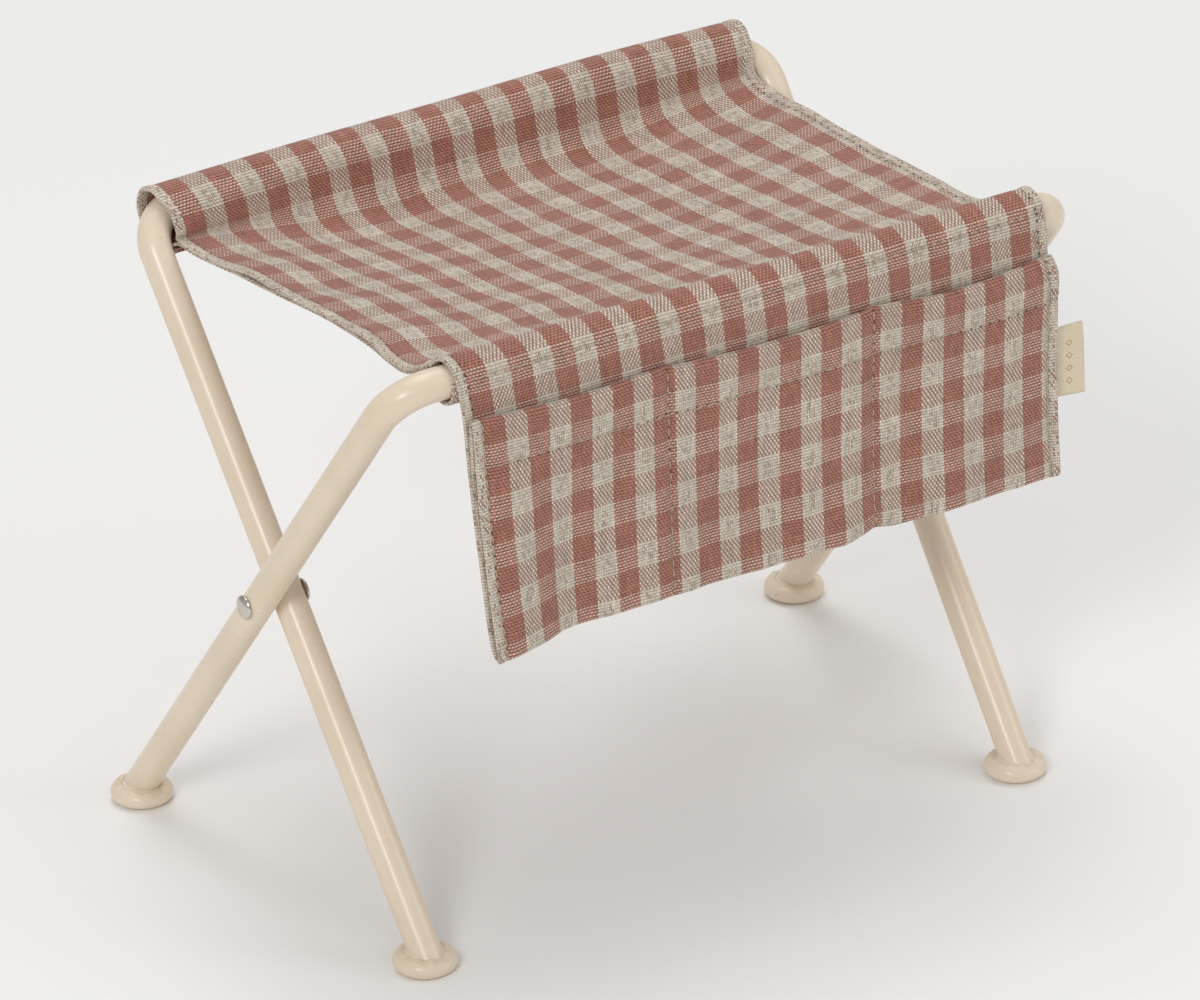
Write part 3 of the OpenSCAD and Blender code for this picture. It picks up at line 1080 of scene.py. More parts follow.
@dataclass
class MetalFrame:
    """The bent rods, their feet and rivets."""

    rails: Rails
    finishes: Finishes
    neck: float = 1.1
    slope_end: float = 3.75
    crown: float = 0.16
    crease: float = 0.14
    weld_r: float = 3.7
    weld_rise: float = 0.2
    weld_lean: float = 0.9
    rivet_air: float = 0.03

    def build(self) -> None:
        """Builds the rods, the feet and the rivets."""
        Bar(self.rails, "outer_rod", "back_right_foot", Body.OUTER, 2.3).build(self.finishes.coat)
        Bar(self.rails, "inner_rod", "front_right_foot", Body.INNER, -2.1).build(self.finishes.coat)
        for node in ("back_left_foot", "back_right_foot"):
            self.foot(node, Body.OUTER)
        for node in ("front_left_foot", "front_right_foot"):
            self.foot(node, Body.INNER)
        for node in ("left_rivet", "right_rivet"):
            self.rivet(node)

    def foot(self, node: str, body: Body) -> None:
        """A foot disc: a rounded rim, a faintly domed top and a weld that rises to the rod.

        The profile is a half circle at the rim, then a slow slope inwards, then a hollow
        quarter curve up to a neck inside the rod.

        Args:
            node: The CAD foot.
            body: The body it rides on.
        """
        low, high = self.rails.box[node]
        centre, radius, height = (low + high) / 2, (high[0] - low[0]) / 2, high[2] - low[2]
        r = height / 2
        a = np.radians(np.linspace(-90, 90, 15))
        rim = np.stack([radius - r + r * np.cos(a), r + r * np.sin(a)], -1)
        rim[:, 1] = np.clip(rim[:, 1], 0, None)
        inner = np.linspace(1, 0, 12)[1:]
        slope_r = self.slope_end + (radius - r - self.slope_end) * inner
        slope = np.stack([slope_r, height + self.crown * (1 - inner) ** 2], -1)
        slope[-1, 1] -= self.crease
        b = np.radians(np.linspace(0, 80, 8))[1:]
        weld_r = self.weld_r - self.neck * 0.9 * np.sin(b)
        weld = np.stack([weld_r, height + self.weld_rise + self.neck * (1 - np.cos(b))], -1)
        profile = np.concatenate([[[0, 0]], rim, slope, weld, [[0, weld[-1, 1]]]])
        points, quads = turned(profile, Matrix.Translation((centre[0], centre[1], 0)), 96)
        # the weld leans with the rod that comes out of it
        lean = np.clip((points[:, 2] - height) / self.neck, 0, 1)
        points[:, 1] += (-1 if body is Body.OUTER else 1) * self.weld_lean * lean
        round_it = np.arctan2(points[:, 1] - centre[1], points[:, 0] - centre[0])
        bumps = ripple(round_it, points[:, 2], [(0.075, 0.9, 1e9, 1.0), (0.0525, 0.53, 7.0, 2.0)])
        points[:, 2] += bumps * smooth(points[:, 2], height * 0.6, height)
        obj = put_mesh(f"{node}_disc", points, [quads], None, [self.finishes.coat])
        settle(merged(obj), body, "powder_coat", node)

    def rivet(self, node: str) -> None:
        """Two domed rivet heads with a small lip, one on each flat of the crossing.

        The profile is a shallow dome with a lip, turned about the rivet's axis.

        Args:
            node: The CAD rivet.
        """
        low, high = self.rails.box[node]
        y, z = (low[1] + high[1]) / 2, (low[2] + high[2]) / 2
        radius = (high[1] - low[1]) / 2
        height = self.rails.head
        a = np.linspace(0, math.pi / 2, 16)
        dome = np.stack([radius * np.sin(a), height * (1 - 0.86 * (1 - np.cos(a)))], -1)
        dome[:4, 1] -= 0.1 * (1 - a[:4] / a[4])
        profile = np.concatenate([dome, [[radius * 0.98, 0.1], [radius * 0.9, 0.0], [0, 0]]])
        points, faces, first = [], [], 0
        flats = (high[0] - height + self.rivet_air, 1), (low[0] + height - self.rivet_air, -1)
        for flat, direction in flats:
            place = Matrix.Translation((flat, y, z)) @ Matrix.Rotation(direction * math.pi / 2, 4, "Y")
            p, q = turned(profile, place, 48)
            points.append(p)
            faces.append(q + first)
            first += len(p)
        joined = np.concatenate(points), [np.concatenate(faces)]
        obj = put_mesh(f"{node}_heads", *joined, None, [self.finishes.nickel])
        settle(merged(obj), Body.OUTER, "nickel", node)


@dataclass
class Sling:
    """The cloth between the rails with the rear sleeve, and the lining below it."""

    rails: Rails
    finishes: Finishes
    thick: float = 0.62
    clear: float = 3.4
    fold_z_m: float = 0.11
    hem_line: float = 1.7
    crest_rise: tuple[float, ...] = (0.1, 0.9, 1.2, 1.8, 1.4)
    # x of each edge at a section's keys: the crease, the span, and round the rear rail
    left: tuple[float, ...] = (
        *(-60.7, -60.7, -60.8),
        *(-60.6, -60.3, -59.8, -59.6, -60.1, -60.9, -62.0, -62.5),
        *(-62.7, -63.4, -64.3, -64.6, -64.7, -64.6, -64.5, -64.3, -64.0),
    )
    right: tuple[float, ...] = (
        *(63.4, 63.3, 63.1),
        *(62.4, 61.9, 61.5, 61.3, 61.4, 61.7, 61.9, 62.0),
        *(62.0,) * 9,
    )

    def top_sections(self) -> Array:
        """The upper cloth's sections at the left hem, three places between, and the right hem.

        Returns:
            Keys of (y, z) for each section: three at the crease behind the front rail,
            eight over the span, and nine round the rear rail.
        """
        f, r, m = self.rails.front, self.rails.rear, self.rails.middle_y
        q = self.rails.sleeve_r - self.thick / 2 + 0.1
        wrap = [
            (r[0] - q - 0.2, r[1] - 1.5),
            (r[0] - q * 0.93, r[1] + q * 0.37),
            (r[0] - q * 0.5, r[1] + q * 0.87),
            (r[0] + 0.2, r[1] + q + 0.1),
            (r[0] + q * 0.72, r[1] + q * 0.72),
            (r[0] + q, r[1] - 0.2),
            (r[0] + q * 0.66, r[1] - q * 0.75),
            (r[0] - 0.6, r[1] - q - 0.1),
            (r[0] - 4.6, r[1] - q - 1.9),
        ]
        crease = [(f[0] + 2.3, f[1] + 2.5), (f[0] + 3.4, f[1] + 2.7), (f[0] + 5.4, f[1] + 1.2)]
        # y from the middle of the table, and the height there of each section in turn
        hem_y = (-33.5, -27.0, -18.9, -6.5, 7.5, 20.5, 33.0, 38.6)
        slack_y = (*hem_y[:6], 32.5, 38.0)
        taut_y = (*hem_y[:6], 32.5, 37.8)
        spans = {
            "hem_left": (hem_y, (112.9, 112.4, 112.8, 112.4, 111.3, 110.9, 110.1, 110.5)),
            "quarter": (slack_y, (112.0, 110.2, 109.7, 108.3, 107.3, 106.4, 105.9, 108.0)),
            "middle": (slack_y, (111.8, 109.9, 108.8, 107.2, 106.2, 105.5, 105.5, 107.8)),
            "three_quarters": (slack_y, (112.1, 110.3, 109.6, 108.3, 107.3, 106.5, 106.1, 108.1)),
            "hem_right": (taut_y, (112.4, 111.3, 111.4, 111.4, 110.9, 110.6, 110.1, 110.9)),
        }
        made = []
        for (ys, zs), rise in zip(spans.values(), self.crest_rise, strict=True):
            moved = [(y + m, z) for y, z in zip(ys, zs, strict=True)]
            lifted = [(y, z + rise * float(smooth(z, r[1] - 1, r[1] + q))) for y, z in wrap]
            made.append(crease + moved + lifted)
        # at its left end the sleeve stands off the rod's inner side
        for k, (away, down) in enumerate(((-1.1, 0.4), (-0.8, 0.1), (-0.3, 0.0))):
            made[0][len(crease) + 8 + k] = (wrap[k][0] + away, wrap[k][1] - down)
        return np.array(made)

    def wrinkles(self, uv: Array) -> Array:
        """Small waves in the cloth, dying out towards both sleeves and the hems."""
        u, v = uv[..., 0], uv[..., 1]
        length = v.max() - v.min()
        fade = smooth(v - v.min(), 3, 14) * (1 - smooth(v - v.min(), length - 38, length - 30))
        long_waves = [(0.16, 41.0, -33.0, 0.4), (0.12, -23.0, 51.0, 1.3)]
        waves = ripple(u, v, [*long_waves, (0.09, 17.0, 29.0, 2.2), (0.05, 9.5, -13.0, 0.2)])
        pulls = 0.35 * hump(u, 8, 7) * np.sin(v * 0.33) + 0.25 * hump(u, 116, 6) * np.sin(v * 0.4 + 1)
        return (waves + pulls) * fade

    def build(self) -> None:
        sections = self.top_sections()
        path = ClothPath(sections, np.array(self.left), np.array(self.right))
        mid, uv, _ = path.build()
        mid = offset(mid, self.wrinkles(uv))
        u, v = uv[..., 0], uv[..., 1]
        width, length = float(u.max()), float(v.max() - v.min())
        # the edge lies a little thicker where it is turned in
        edge = np.minimum(u, width - u)
        half = self.thick / 2 + 0.14 * (1 - smooth(edge, 1.2, 2.0)) - 0.1 * hump(edge, self.hem_line, 0.35)
        seams = tuple(SeamLine(x, 6.0, 80.0, False) for x in (self.hem_line, width - self.hem_line))
        material = self.finishes.gingham("sling gingham", self.finishes.band_across, 3.2, seams)
        sling = cloth_shell("sling_upper_cloth", mid, uv, half, [material])
        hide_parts("sling_cloth", "rear_sleeve")
        self.stretch(sling, width, length)
        self.lining(sections)

    def stretch(self, cloth: bpy.types.Object, width: float, length: float) -> None:
        """Bakes a cloth's placement into its mesh and logs its flat size in millimetres."""
        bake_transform(cloth)
        LOG.info("built %s, %.1f by %.1f mm", cloth.name, width, length)

    def lining(self, sections: Array) -> None:
        """The lining: from the front stitch line, round the front rail, and below the sling.

        Args:
            sections: The upper cloth's sections, which it follows 0.8 mm lower.
        """
        f, r = self.rails.front, self.rails.rear
        q = self.rails.sleeve_r - self.thick * 1.5 - 0.15
        under = [
            (f[0] - q * 0.93, f[1] + q * 0.3),
            (f[0] - q, f[1] - 0.6),
            (f[0] - q * 0.66, f[1] - q * 0.78),
            (f[0] + 0.3, f[1] - q),
            (f[0] + q * 0.75, f[1] - q * 0.62),
            (f[0] + q + 0.25, f[1] + 0.4),
            (f[0] + q + 1.0, f[1] + 1.6),
        ]
        made = []
        for section in sections:
            below = section[3:11] + np.array([0.0, -0.8])
            made.append(under + [tuple(p) for p in below] + [(r[0] - 4.7, r[1] - q - 1.1)])
        keys = np.array(made)
        n_under = len(under)
        left = np.r_[np.full(n_under, -60.3), np.array(self.left)[3:11] + 0.15, -63.6]
        right = np.r_[np.full(n_under, 63.0), np.array(self.right)[3:11] - 0.15, 61.6]
        path = ClothPath(keys, left, right, step_down=0.8, step_across=0.8)
        mid, uv, _ = path.build()
        u, v = uv[..., 0], uv[..., 1] - float(uv[..., 1].min())
        length = float(v.max())
        share = smooth(v, 26, 36) * (1 - smooth(v, length - 10, length - 3))
        mid = offset(mid, 0.8 * ripple(u, v, [(0.12, 41.0, -33.0, 0.4)]) * share - 0.05)
        half = np.full(v.shape, self.thick / 2)
        material = self.finishes.gingham("lining gingham", self.finishes.band_across, 5.0)
        lining = cloth_shell("sling_lining_cloth", mid, uv, half, [material])
        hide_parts("sling_lining")
        self.stretch(lining, float(u.max()), length)


@dataclass
class Flap:
    """One cloth over the front rail, down as the flap, and folded up as the pockets."""

    rails: Rails
    finishes: Finishes
    thick: float = 0.62
    divider: float = 22.0
    hem: float = 9.0
    band_start: float = 7.2
    pocket_pace: float = 0.968
    seam_in: float = 1.6
    mouth_z: float = 108.1

    def reach(self, z: Array) -> Array:
        """Y of the flap's own layer at a height: it leans out by 1 in 40 below the hinge."""
        top = self.rails.front[0] - self.rails.sleeve_r + 0.1
        return top - 0.026 * np.clip(self.rails.hinge[2] - 2.0 - np.asarray(z, float), 0, None)

    def sections(self) -> tuple[Array, dict[str, int]]:
        """Sections at the left edge, the middle and the right edge.

        Returns:
            The keys, and the number of the key at each named place.
        """
        f = self.rails.front
        q = self.rails.sleeve_r - self.thick / 2 + 0.1
        made, index = [], {}
        for sag, mouth in ((0.9, 108.6), (1.3, 108.0), (0.7, 107.7)):
            bottom = self.rails.flap_bottom - sag
            over = [
                (f[0] + 2.8, f[1] + 2.4),
                (f[0] + 2.1, f[1] + 3.5),
                (f[0] + 0.1, f[1] + q + 0.05),
                (f[0] - q * 0.6, f[1] + q * 0.8),
                (f[0] - q * 0.93, f[1] + q * 0.33),
                (f[0] - q - 0.02, f[1] - 1.2),
            ]
            down = [(float(self.reach(z)), z) for z in (108.5, 100.0, 90.0, 80.0, 70.0, bottom + 2.0)]
            y = float(self.reach(bottom))
            fold = [(y - 0.08, bottom + 0.62), (y - 0.66, bottom), (y - 1.26, bottom + 0.62)]
            # each pair is a height and how far in front of the flap the pocket is there
            face = ((bottom + 2.2, 1.34), (75.0, 1.0), (85.0, 1.0), (93.0, 1.15))
            hem = ((mouth - self.hem, 1.5), (mouth - 5.0, 1.75), (mouth - 1.0, 1.85))
            up = [(float(self.reach(z)) - g, z) for z, g in face + hem]
            y = float(self.reach(mouth))
            lip = [(y - 1.52, mouth), (y - 1.18, mouth - 1.0)]
            turned_in = ((mouth - 4.6, 1.05), (mouth - self.hem - 0.6, 0.8))
            back = [(float(self.reach(z)) - g, z) for z, g in turned_in]
            index = {
                "bottom": len(over) + len(down) + 1,
                "hem": len(over) + len(down) + len(fold) + 4,
                "mouth": len(over) + len(down) + len(fold) + len(up),
                "front_seam": 4,
            }
            made.append(over + down + fold + up + lip + back)
        return np.array(made), index

    def edges(self, count: int, index: dict[str, int]) -> tuple[Array, Array]:
        """The lines of the left and right edges, one x for each key."""
        k = np.arange(count)
        down = np.clip((k - 5) / (index["bottom"] - 5), 0, 1)
        up = np.clip((k - index["bottom"]) / (index["mouth"] - index["bottom"]), 0, 1)
        left = -60.7 + 1.6 * np.clip(k / 6, 0, 1) + 2.4 * down - 1.6 * up
        right = 63.6 + 0.3 * np.clip(k / 6, 0, 1) + 1.6 * down - 0.2 * up
        return left, right

    def matched(self, uv: Array, t: Array, index: dict[str, int]) -> Array:
        """Slides the weft bands a little, so that a natural one starts just under the bottom fold.

        Down the front the cloth coordinate is the arc length. From behind the pockets'
        mouth to the bottom fold it is stretched evenly, to reach the fold at the wanted
        share of a band's period, and up the pockets it runs a little slower.

        Args:
            uv: The cloth coordinates.
            t: Places of the rows along the keys.
            index: The keys' numbers by name.

        Returns:
            The new cloth coordinates.
        """
        v = uv[:, 0, 1]
        period = self.finishes.weave.period_down
        top, bottom = float(np.interp(7, t, v)), float(np.interp(index["bottom"], t, v))
        wanted = self.band_start + period * (round((bottom - self.band_start) / period - 0.09) + 0.09)
        slow = np.where(v < top, v, top + (v - top) * (wanted - top) / (bottom - top))
        slow = np.where(v > bottom, wanted + (v - bottom) * self.pocket_pace, slow)
        return np.stack([uv[..., 0], np.broadcast_to(slow[:, None], uv.shape[:2])], -1)

    def shaped(self, points: Array, uv: Array, marks: dict[str, float]) -> Array:
        """Moves the flat flap into its hang: curled left edge, bulging pockets, sagging mouths."""
        x, z = points[..., 0], points[..., 2]
        u, v = uv[..., 0], uv[..., 1]
        width = float(u.max())
        s = u / width
        hang = np.clip((self.rails.hinge[2] - 2 - z) / 46, 0, 1.05)
        front = smooth(v, marks["bottom"] - 0.4, marks["bottom"] + 0.4)
        points = points.copy()
        points[..., 1] -= 4.6 * hang**1.4 * (1 - smooth(s, 0.0, 0.17))
        points[..., 1] -= 0.7 * hang * smooth(s, 0.8, 1.0)
        waves = ripple(u, z, [(0.30, 33.0, -160.0, 0.6), (0.14, 15.0, 90.0, 1.8), (0.07, 8.0, -37.0, 0.5)])
        points[..., 1] += waves * smooth(hang, 0.03, 0.5)
        # each pocket bulges between its seams: a parabola in the middle, a sine at the sides
        rows = (u - width / 2) / self.divider
        inside = np.abs(rows)
        edge = (width / 2 - self.seam_in) / self.divider
        middle_pocket = np.clip(1 - rows**2, 0, 1)
        side_t = np.clip((inside - 1) / (edge - 1), 0, 1)
        side_pocket = np.where(inside > 1, np.sin(math.pi * side_t) ** 1.2, 0)
        bulge = np.where(inside <= 1, middle_pocket**0.8, side_pocket)
        mouth_z = marks["mouth_z"]
        high = smooth(z, 74.0, mouth_z)
        puff = (0.25 + 0.75 * high) * bulge * front
        points[..., 1] -= puff * np.where(x > 0, 0.75, 0.6)
        near_mouth = smooth(z, mouth_z - 12, mouth_z) * front
        points[..., 2] -= near_mouth * bulge * np.where(x > 24, 1.1, np.where(x > -20, 0.75, 0.45))
        return self.pulled(points, uv, z, front, marks)

    def pulled(
        self, points: Array, uv: Array, z: Array, front: Array, marks: dict[str, float]
    ) -> Array:
        """Pulls the pockets in along the dividers, the side hems and the pocket hem.

        Args:
            points: The bulging flap, which is changed.
            uv: The cloth coordinates.
            z: Heights before the pockets bulged.
            front: 1 on the pockets' layer, 0 behind it.
            marks: Cloth coordinates by name.

        Returns:
            The puckered flap.
        """
        u, v = uv[..., 0], uv[..., 1]
        width = float(u.max())
        rows = (u - width / 2) / self.divider
        both = hump(rows, -1, 0.14) + hump(rows, 1, 0.14)
        puckers = np.sin(2 * math.pi * z / 6.3 + 1.5 * np.sin(z * 0.21)) * both
        points[..., 1] += 0.13 * puckers * front
        along_hem = np.sin(2 * math.pi * u / 7.1 + 2 * np.sin(u * 0.09))
        points[..., 1] += 0.1 * along_hem * hump(v, marks["hem"], 2.2) * front
        # the right divider's foot lies in a fold
        fold = width / 2 + self.divider
        points[..., 1] -= 0.9 * hump(u, fold - 7, 3.2) * (1 - smooth(z, 66, 80)) * front
        points[..., 1] += 0.6 * hump(u, fold + 4, 4.0) * (1 - smooth(z, 66, 84)) * front
        lines = hump(rows, -1, 0.045) + hump(rows, 1, 0.045)
        points[..., 1] += 0.42 * lines * front * smooth(z, 64, 66)
        hems = hump(u, self.seam_in, 0.8) + hump(u, width - self.seam_in, 0.8)
        points[..., 1] += 0.3 * hems * front
        points[..., 1] += 0.16 * hump(v, marks["hem"], 0.7) * front
        kinks = 0.15 * hump(rows, -1, 0.12) + hump(rows, 1, 0.12)
        points[..., 2] += 0.9 * kinks * (1 - smooth(z, 65, 72))
        corner = smooth(u / width, 0.93, 1.0) * hump(z, marks["mouth_z"], 2.6)
        points[..., 0] -= 1.3 * corner * front
        return points

    def build(self) -> None:
        """Builds the cloth, its stitches, the label and the loose yarns."""
        keys, index = self.sections()
        left, right = self.edges(keys.shape[1], index)
        path = ClothPath(keys, left, right, step_down=0.68, step_across=0.74)
        mid, uv, t = path.build()
        uv = self.matched(uv, t, index)
        v = uv[:, 0, 1]

        def length_at(key: float) -> float:
            """The cloth coordinate at a section's key."""
            return float(np.interp(key, t, v))

        marks = {name: length_at(k) for name, k in index.items()}
        marks["mouth_z"] = self.mouth_z
        mid = self.shaped(mid, uv, marks)
        # the front seam draws the cloth in
        seam_groove = 0.16 * hump(uv[..., 1], marks["front_seam"], 0.5)
        normal = unit(np.cross(np.gradient(mid, axis=1), np.gradient(mid, axis=0)))
        inward = np.where(normal[..., 2:] > 0, -1.0, 1.0)
        mid = mid + normal * inward * (seam_groove * (uv[..., 1] < 12))[..., None]
        width = float(uv[..., 0].max())
        edge = np.minimum(uv[..., 0], width - uv[..., 0])
        half = self.thick / 2 + 0.12 * (1 - smooth(edge, 0.9, 1.5)) - 0.08 * hump(edge, self.seam_in, 0.35)
        m, bottom = marks["mouth"], marks["bottom"]
        tall = m - bottom - 1.0
        middle = width / 2
        seams = (
            SeamLine(marks["front_seam"], 1.0, width - 2, True),
            SeamLine(marks["hem"], 1.8, width - 3.6, True),
            SeamLine(middle - self.divider, bottom + 0.6, tall, False),
            SeamLine(middle + self.divider, bottom + 0.6, tall, False),
            SeamLine(self.seam_in, 4.0, m - 4.4, False),
            SeamLine(width - self.seam_in, 4.0, m - 4.4, False),
        )
        material = self.finishes.gingham(
            "flap gingham", self.finishes.band_across, self.band_start, seams
        )
        flap = cloth_shell("flap_and_pocket_cloth", mid, uv, half, [material])
        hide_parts("front_sleeve", "flap_panel", "pocket_panel", "flap_left_hem", "flap_right_hem")
        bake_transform(flap)
        self.mid, self.uv, self.marks = mid, uv, marks
        pieces = [*self.stitches(width, bottom, m), self.label(width), *self.frays()]
        LOG.info("built %s with %d pieces", flap.name, len(pieces))

    def face_line(self, us: Array, vs: Array) -> tuple[Array, Array]:
        """Points and normals on the cloth's outer face along a line.

        Args:
            us: Cloth coordinates across.
            vs: Cloth coordinates down.

        Returns:
            The points, and the normals there, which point away from the table.
        """
        u0, v0 = self.uv[0, :, 0], self.uv[:, 0, 1]
        normal = unit(np.cross(np.gradient(self.mid, axis=1), np.gradient(self.mid, axis=0)))
        fu = np.interp(us, u0, np.arange(len(u0)))
        fv = np.interp(vs, v0, np.arange(len(v0)))
        i, j = np.clip(fu.astype(int), 0, len(u0) - 2), np.clip(fv.astype(int), 0, len(v0) - 2)
        a, b = (fu - i)[:, None], (fv - j)[:, None]

        def at(grid: Array) -> Array:
            """A grid's values at the line's places."""
            return (
                grid[j, i] * (1 - a) * (1 - b)
                + grid[j, i + 1] * a * (1 - b)
                + grid[j + 1, i] * (1 - a) * b
                + grid[j + 1, i + 1] * a * b
            )

        n = unit(at(normal))
        n = n * np.where(n[:, 1:2] > 0, -1.0, 1.0)
        return at(self.mid) + n * (self.thick / 2 + 0.02), n

    def stitches(self, width: float, bottom: float, mouth: float) -> list[bpy.types.Object]:
        """Every stitch row on the flap's cloth.

        Args:
            width: The cloth's width.
            bottom: Cloth coordinate of the bottom fold.
            mouth: Cloth coordinate of the pockets' mouth.

        Returns:
            The six rows.
        """
        middle = width / 2
        across = np.linspace(1.2, width - 1.2, 180)
        tall = np.linspace(bottom + 0.9, mouth - 0.5, 90)
        front_seam = np.full(180, self.marks["front_seam"])
        # the pocket hem's row wanders, and drops towards the right
        hem = np.full(180, self.marks["hem"]) + 0.25 * np.sin(across * 0.11) + 0.6 * smooth(across, 84, 105)
        rows = {
            "front_sleeve": (across, front_seam, Body.OUTER),
            "pocket_hem": (across, hem, Body.FLAP),
            "left_divider": (np.full(90, middle - self.divider), tall, Body.FLAP),
            "right_divider": (np.full(90, middle + self.divider), tall, Body.FLAP),
            "left_hem": (np.full(90, self.seam_in), tall, Body.FLAP),
            "right_hem": (np.full(90, width - self.seam_in), tall, Body.FLAP),
        }
        made = []
        for name, (us, vs, body) in rows.items():
            line, normals = self.face_line(us, vs)
            obj = Stitches().build(f"{name}_stitches", line, normals, self.finishes.thread)
            made.append(settle(obj, body, "thread", f"{name}_stitching"))
        return made

    def label(self, width: float) -> bpy.types.Object:
        """The tape: a flat leaf out of the right hem, swaying back and drooping outwards.

        Args:
            width: The cloth's width.

        Returns:
            The object.
        """
        low, high = self.rails.label
        z = np.linspace(high[2] - 0.9, low[2] - 1.1, 28)
        edge, _ = self.face_line(np.full(28, width - 1.0), self.cloth_lengths(z))
        out = high[0] + 4.9
        f = np.linspace(0, 1, 26)[None]
        inner = edge[:, :1] + 0.2
        x = inner + (out - inner + 0.25 * np.sin(z * 0.3)[:, None]) * f
        sway = 0.5 * np.sin(f * 2.4 + z[:, None] * 0.12) * f + 0.35 * f * (z[:, None] - z.mean()) / 8
        y = edge[:, 1:2] + 0.9 + sway
        droop = -0.5 * f**1.5
        mid = np.stack([x, y, z[:, None] + droop], -1)
        uv = np.stack([f * (out - float(inner.mean())) + 0 * z[:, None], (z[0] - z)[:, None] + 0 * f], -1)
        half = np.full(mid.shape[:2], 0.26)
        obj = cloth_shell("side_label_tape", mid, uv, half, [self.finishes.tape])
        return settle(obj, Body.FLAP, "label_tape", "side_label")

    def cloth_lengths(self, z: Array) -> Array:
        """Cloth coordinate down the flap's back layer at these heights, at the right edge."""
        before = self.uv[:, 0, 1] < self.marks["bottom"]
        return np.interp(-z, -self.mid[before, -1, 2], self.uv[before, 0, 1])

    def frays(self) -> list[bpy.types.Object]:
        """A few loose yarn ends at the pocket's mouth, as thin bent tubes.

        Returns:
            The yarns.
        """
        made = []
        # place across, length and sideways bend of each
        starts = [(7.8, 2.6, 0.5), (8.6, 1.6, -0.7), (16.5, 1.3, 0.9), (26.0, 1.1, -0.5)]
        for k, (u, length, bend) in enumerate(starts):
            base, _ = self.face_line(np.array([u]), np.array([self.marks["mouth"] + 0.1]))
            f = np.linspace(0, 1, 9)[:, None]
            aside = bend * f + 0.4 * np.sin(4 * f + k)
            line = base + np.concatenate([aside, -0.25 * f, length * f - 0.6 * f**2], -1)
            made.append(self.yarn(f"loose_yarn_{k + 1}", line, 0.11))
        return made

    def yarn(self, name: str, line: Array, radius: float) -> bpy.types.Object:
        """A thin tube along a line, with six sides, which tapers to its end.

        Args:
            name: The piece's name.
            line: Points along it.
            radius: Radius at its start.

        Returns:
            The object.
        """
        sides = 6
        tangent = unit(np.gradient(line, axis=0))
        beside = unit(np.cross(tangent, np.array([0.2, 1.0, 0.1])))
        other = np.cross(tangent, beside)
        angle = np.linspace(0, 2 * math.pi, sides, endpoint=False)
        taper = radius * (1 - 0.6 * np.linspace(0, 1, len(line)))
        outward = beside[:, None] * np.cos(angle)[:, None] + other[:, None] * np.sin(angle)[:, None]
        ring = line[:, None] + outward * taper[:, None, None]
        quads = strip_faces(len(line), sides, True)
        last = (len(line) - 1) * sides
        caps = np.stack([np.arange(sides)[::-1], last + np.arange(sides)])
        round_it = (angle / (2 * math.pi))[None]
        uv = np.stack(np.broadcast_arrays(np.linspace(0, 3, len(line))[:, None], round_it), -1)
        obj = put_mesh(name, ring.reshape(-1, 3), [quads, caps], uv.reshape(-1, 2), [self.finishes.fray])
        return settle(obj, Body.FLAP, "thread")


# ---------------------------------------------------------------- camera, floor and light


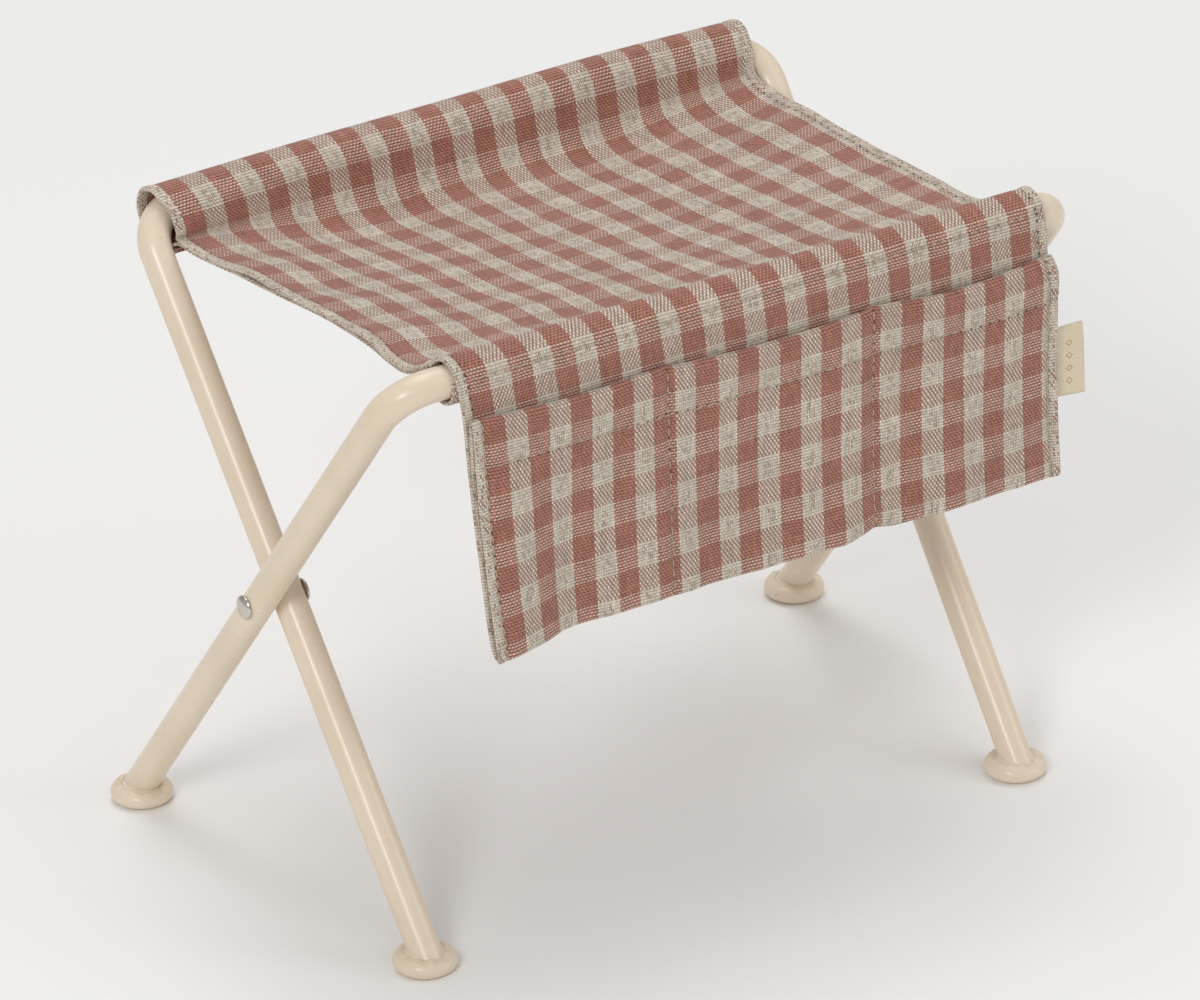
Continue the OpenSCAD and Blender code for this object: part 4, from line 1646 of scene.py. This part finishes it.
@dataclass
class Studio:
    """A pale floor, soft lights and the camera."""

    azimuth: float = -33.436
    elevation: float = 26.192
    roll: float = -0.639
    distance: float = 1626.85
    lens: float = 269.36
    aim_height: float = 50.0
    aside: float = 0.827
    raised: float = 6.301

    def build(self, rails: Rails) -> None:
        """Makes the camera, the floor and the lights.

        Args:
            rails: Places read from the frame.
        """
        self.camera(rails)
        self.floor()
        self.lights()

    def camera(self, rails: Rails) -> None:
        """The camera stands back from a point over the pivot, slightly raised and rolled."""
        a, e, r = (math.radians(x) for x in (self.azimuth, self.elevation, self.roll))
        back = np.array([math.sin(a) * math.cos(e), -math.cos(a) * math.cos(e), math.sin(e)])
        level = np.array([math.cos(a), math.sin(a), 0.0])
        upright = np.cross(back, level)
        right = level * math.cos(r) + upright * math.sin(r)
        up = -level * math.sin(r) + upright * math.cos(r)
        target = np.array([0.0, rails.pivot[1], self.aim_height])
        place = target + back * self.distance + right * self.aside + up * self.raised
        data = bpy.data.cameras.new("camera")
        data.lens, data.sensor_width = self.lens, 36.0
        data.clip_start, data.clip_end = 0.05, 20.0
        cam = bpy.data.objects.new("camera", data)
        basis = np.eye(4)
        basis[:3, 0], basis[:3, 1], basis[:3, 2], basis[:3, 3] = right, up, back, place * MM
        cam.matrix_world = Matrix(basis.tolist())
        bpy.context.scene.collection.objects.link(cam)
        bpy.context.scene.camera = cam

    def floor(self) -> None:
        """A wide, faintly uneven pale floor."""
        n = 40
        g = np.linspace(-2500, 2500, n)
        x, y = np.meshgrid(g, g)
        z = np.full_like(x, -0.02)
        points = np.stack([x, y, z], -1).reshape(-1, 3)
        material, nodes, shader = new_material("pale floor")
        place = nodes.add("ShaderNodeTexCoord").outputs["Object"]
        cloud = nodes.noise(place, 3.0, 2.0)
        base = nodes.mix(cloud, (0.91, 0.91, 0.905, 1), (0.93, 0.93, 0.925, 1))
        nodes.feed(shader.inputs["Base Color"], base)
        shader.inputs["Roughness"].default_value = 0.9
        obj = put_mesh("floor", points, [strip_faces(n, n, False)], None, [material])

    def lights(self) -> None:
        """A large soft key from the left, a fill from the right, a top light and a pale sky."""
        world = bpy.data.worlds.new("studio")
        bpy.context.scene.world = world
        world.use_nodes = True
        sky = world.node_tree.nodes["Background"]
        sky.inputs[0].default_value = (1.0, 0.99, 0.975, 1)
        sky.inputs[1].default_value = 0.5
        self.panel("key", (-1.05, -0.75, 0.9), 0.42, 6.6)
        self.panel("fill", (0.9, -0.9, 0.6), 0.6, 2.3)
        self.panel("top", (0.15, 0.3, 1.25), 0.8, 5.2)
        bpy.context.scene.view_settings.view_transform = "Standard"

    @staticmethod
    def panel(name: str, place: tuple[float, float, float], size: float, power: float) -> None:
        """One square soft light, turned to the table's middle."""
        data = bpy.data.lights.new(name, "AREA")
        data.energy, data.size = power, size
        obj = bpy.data.objects.new(name, data)
        obj.location = place
        aim = Vector((0, 0, 0.07)) - Vector(place)
        obj.rotation_euler = aim.to_track_quat("-Z", "Y").to_euler()
        bpy.context.scene.collection.objects.link(obj)


@dataclass
class RearSeam:
    """The seam under the rear sleeve."""

    rails: Rails
    finishes: Finishes
    left: float = -62.5
    right: float = 60.5
    inward: float = 3.9
    below: float = 1.75

    def build(self) -> None:
        """Lays the row of stitches below the rear sleeve, on its inner frame."""
        y, z = self.rails.rear[0] - self.inward, self.rails.rear[1] - self.rails.sleeve_r - self.below
        x = np.linspace(self.left, self.right, 160)
        line = np.stack([x, np.full(160, y), np.full(160, z)], -1)
        normals = np.tile([0.0, 0.45, -0.9], (160, 1))
        obj = Stitches().build("rear_sleeve_stitches", line, normals, self.finishes.thread)
        settle(obj, Body.INNER, "thread", "rear_sleeve_stitching")


def main() -> None:
    """Builds the table's pieces in order."""
    logging.basicConfig(level=logging.INFO, format="%(name)s: %(message)s")
    rails, finishes = Rails(), Finishes()
    Studio().build(rails)
    MetalFrame(rails, finishes).build()
    Sling(rails, finishes).build()
    Flap(rails, finishes).build()
    RearSeam(rails, finishes).build()


if __name__ == "__main__":
    main()
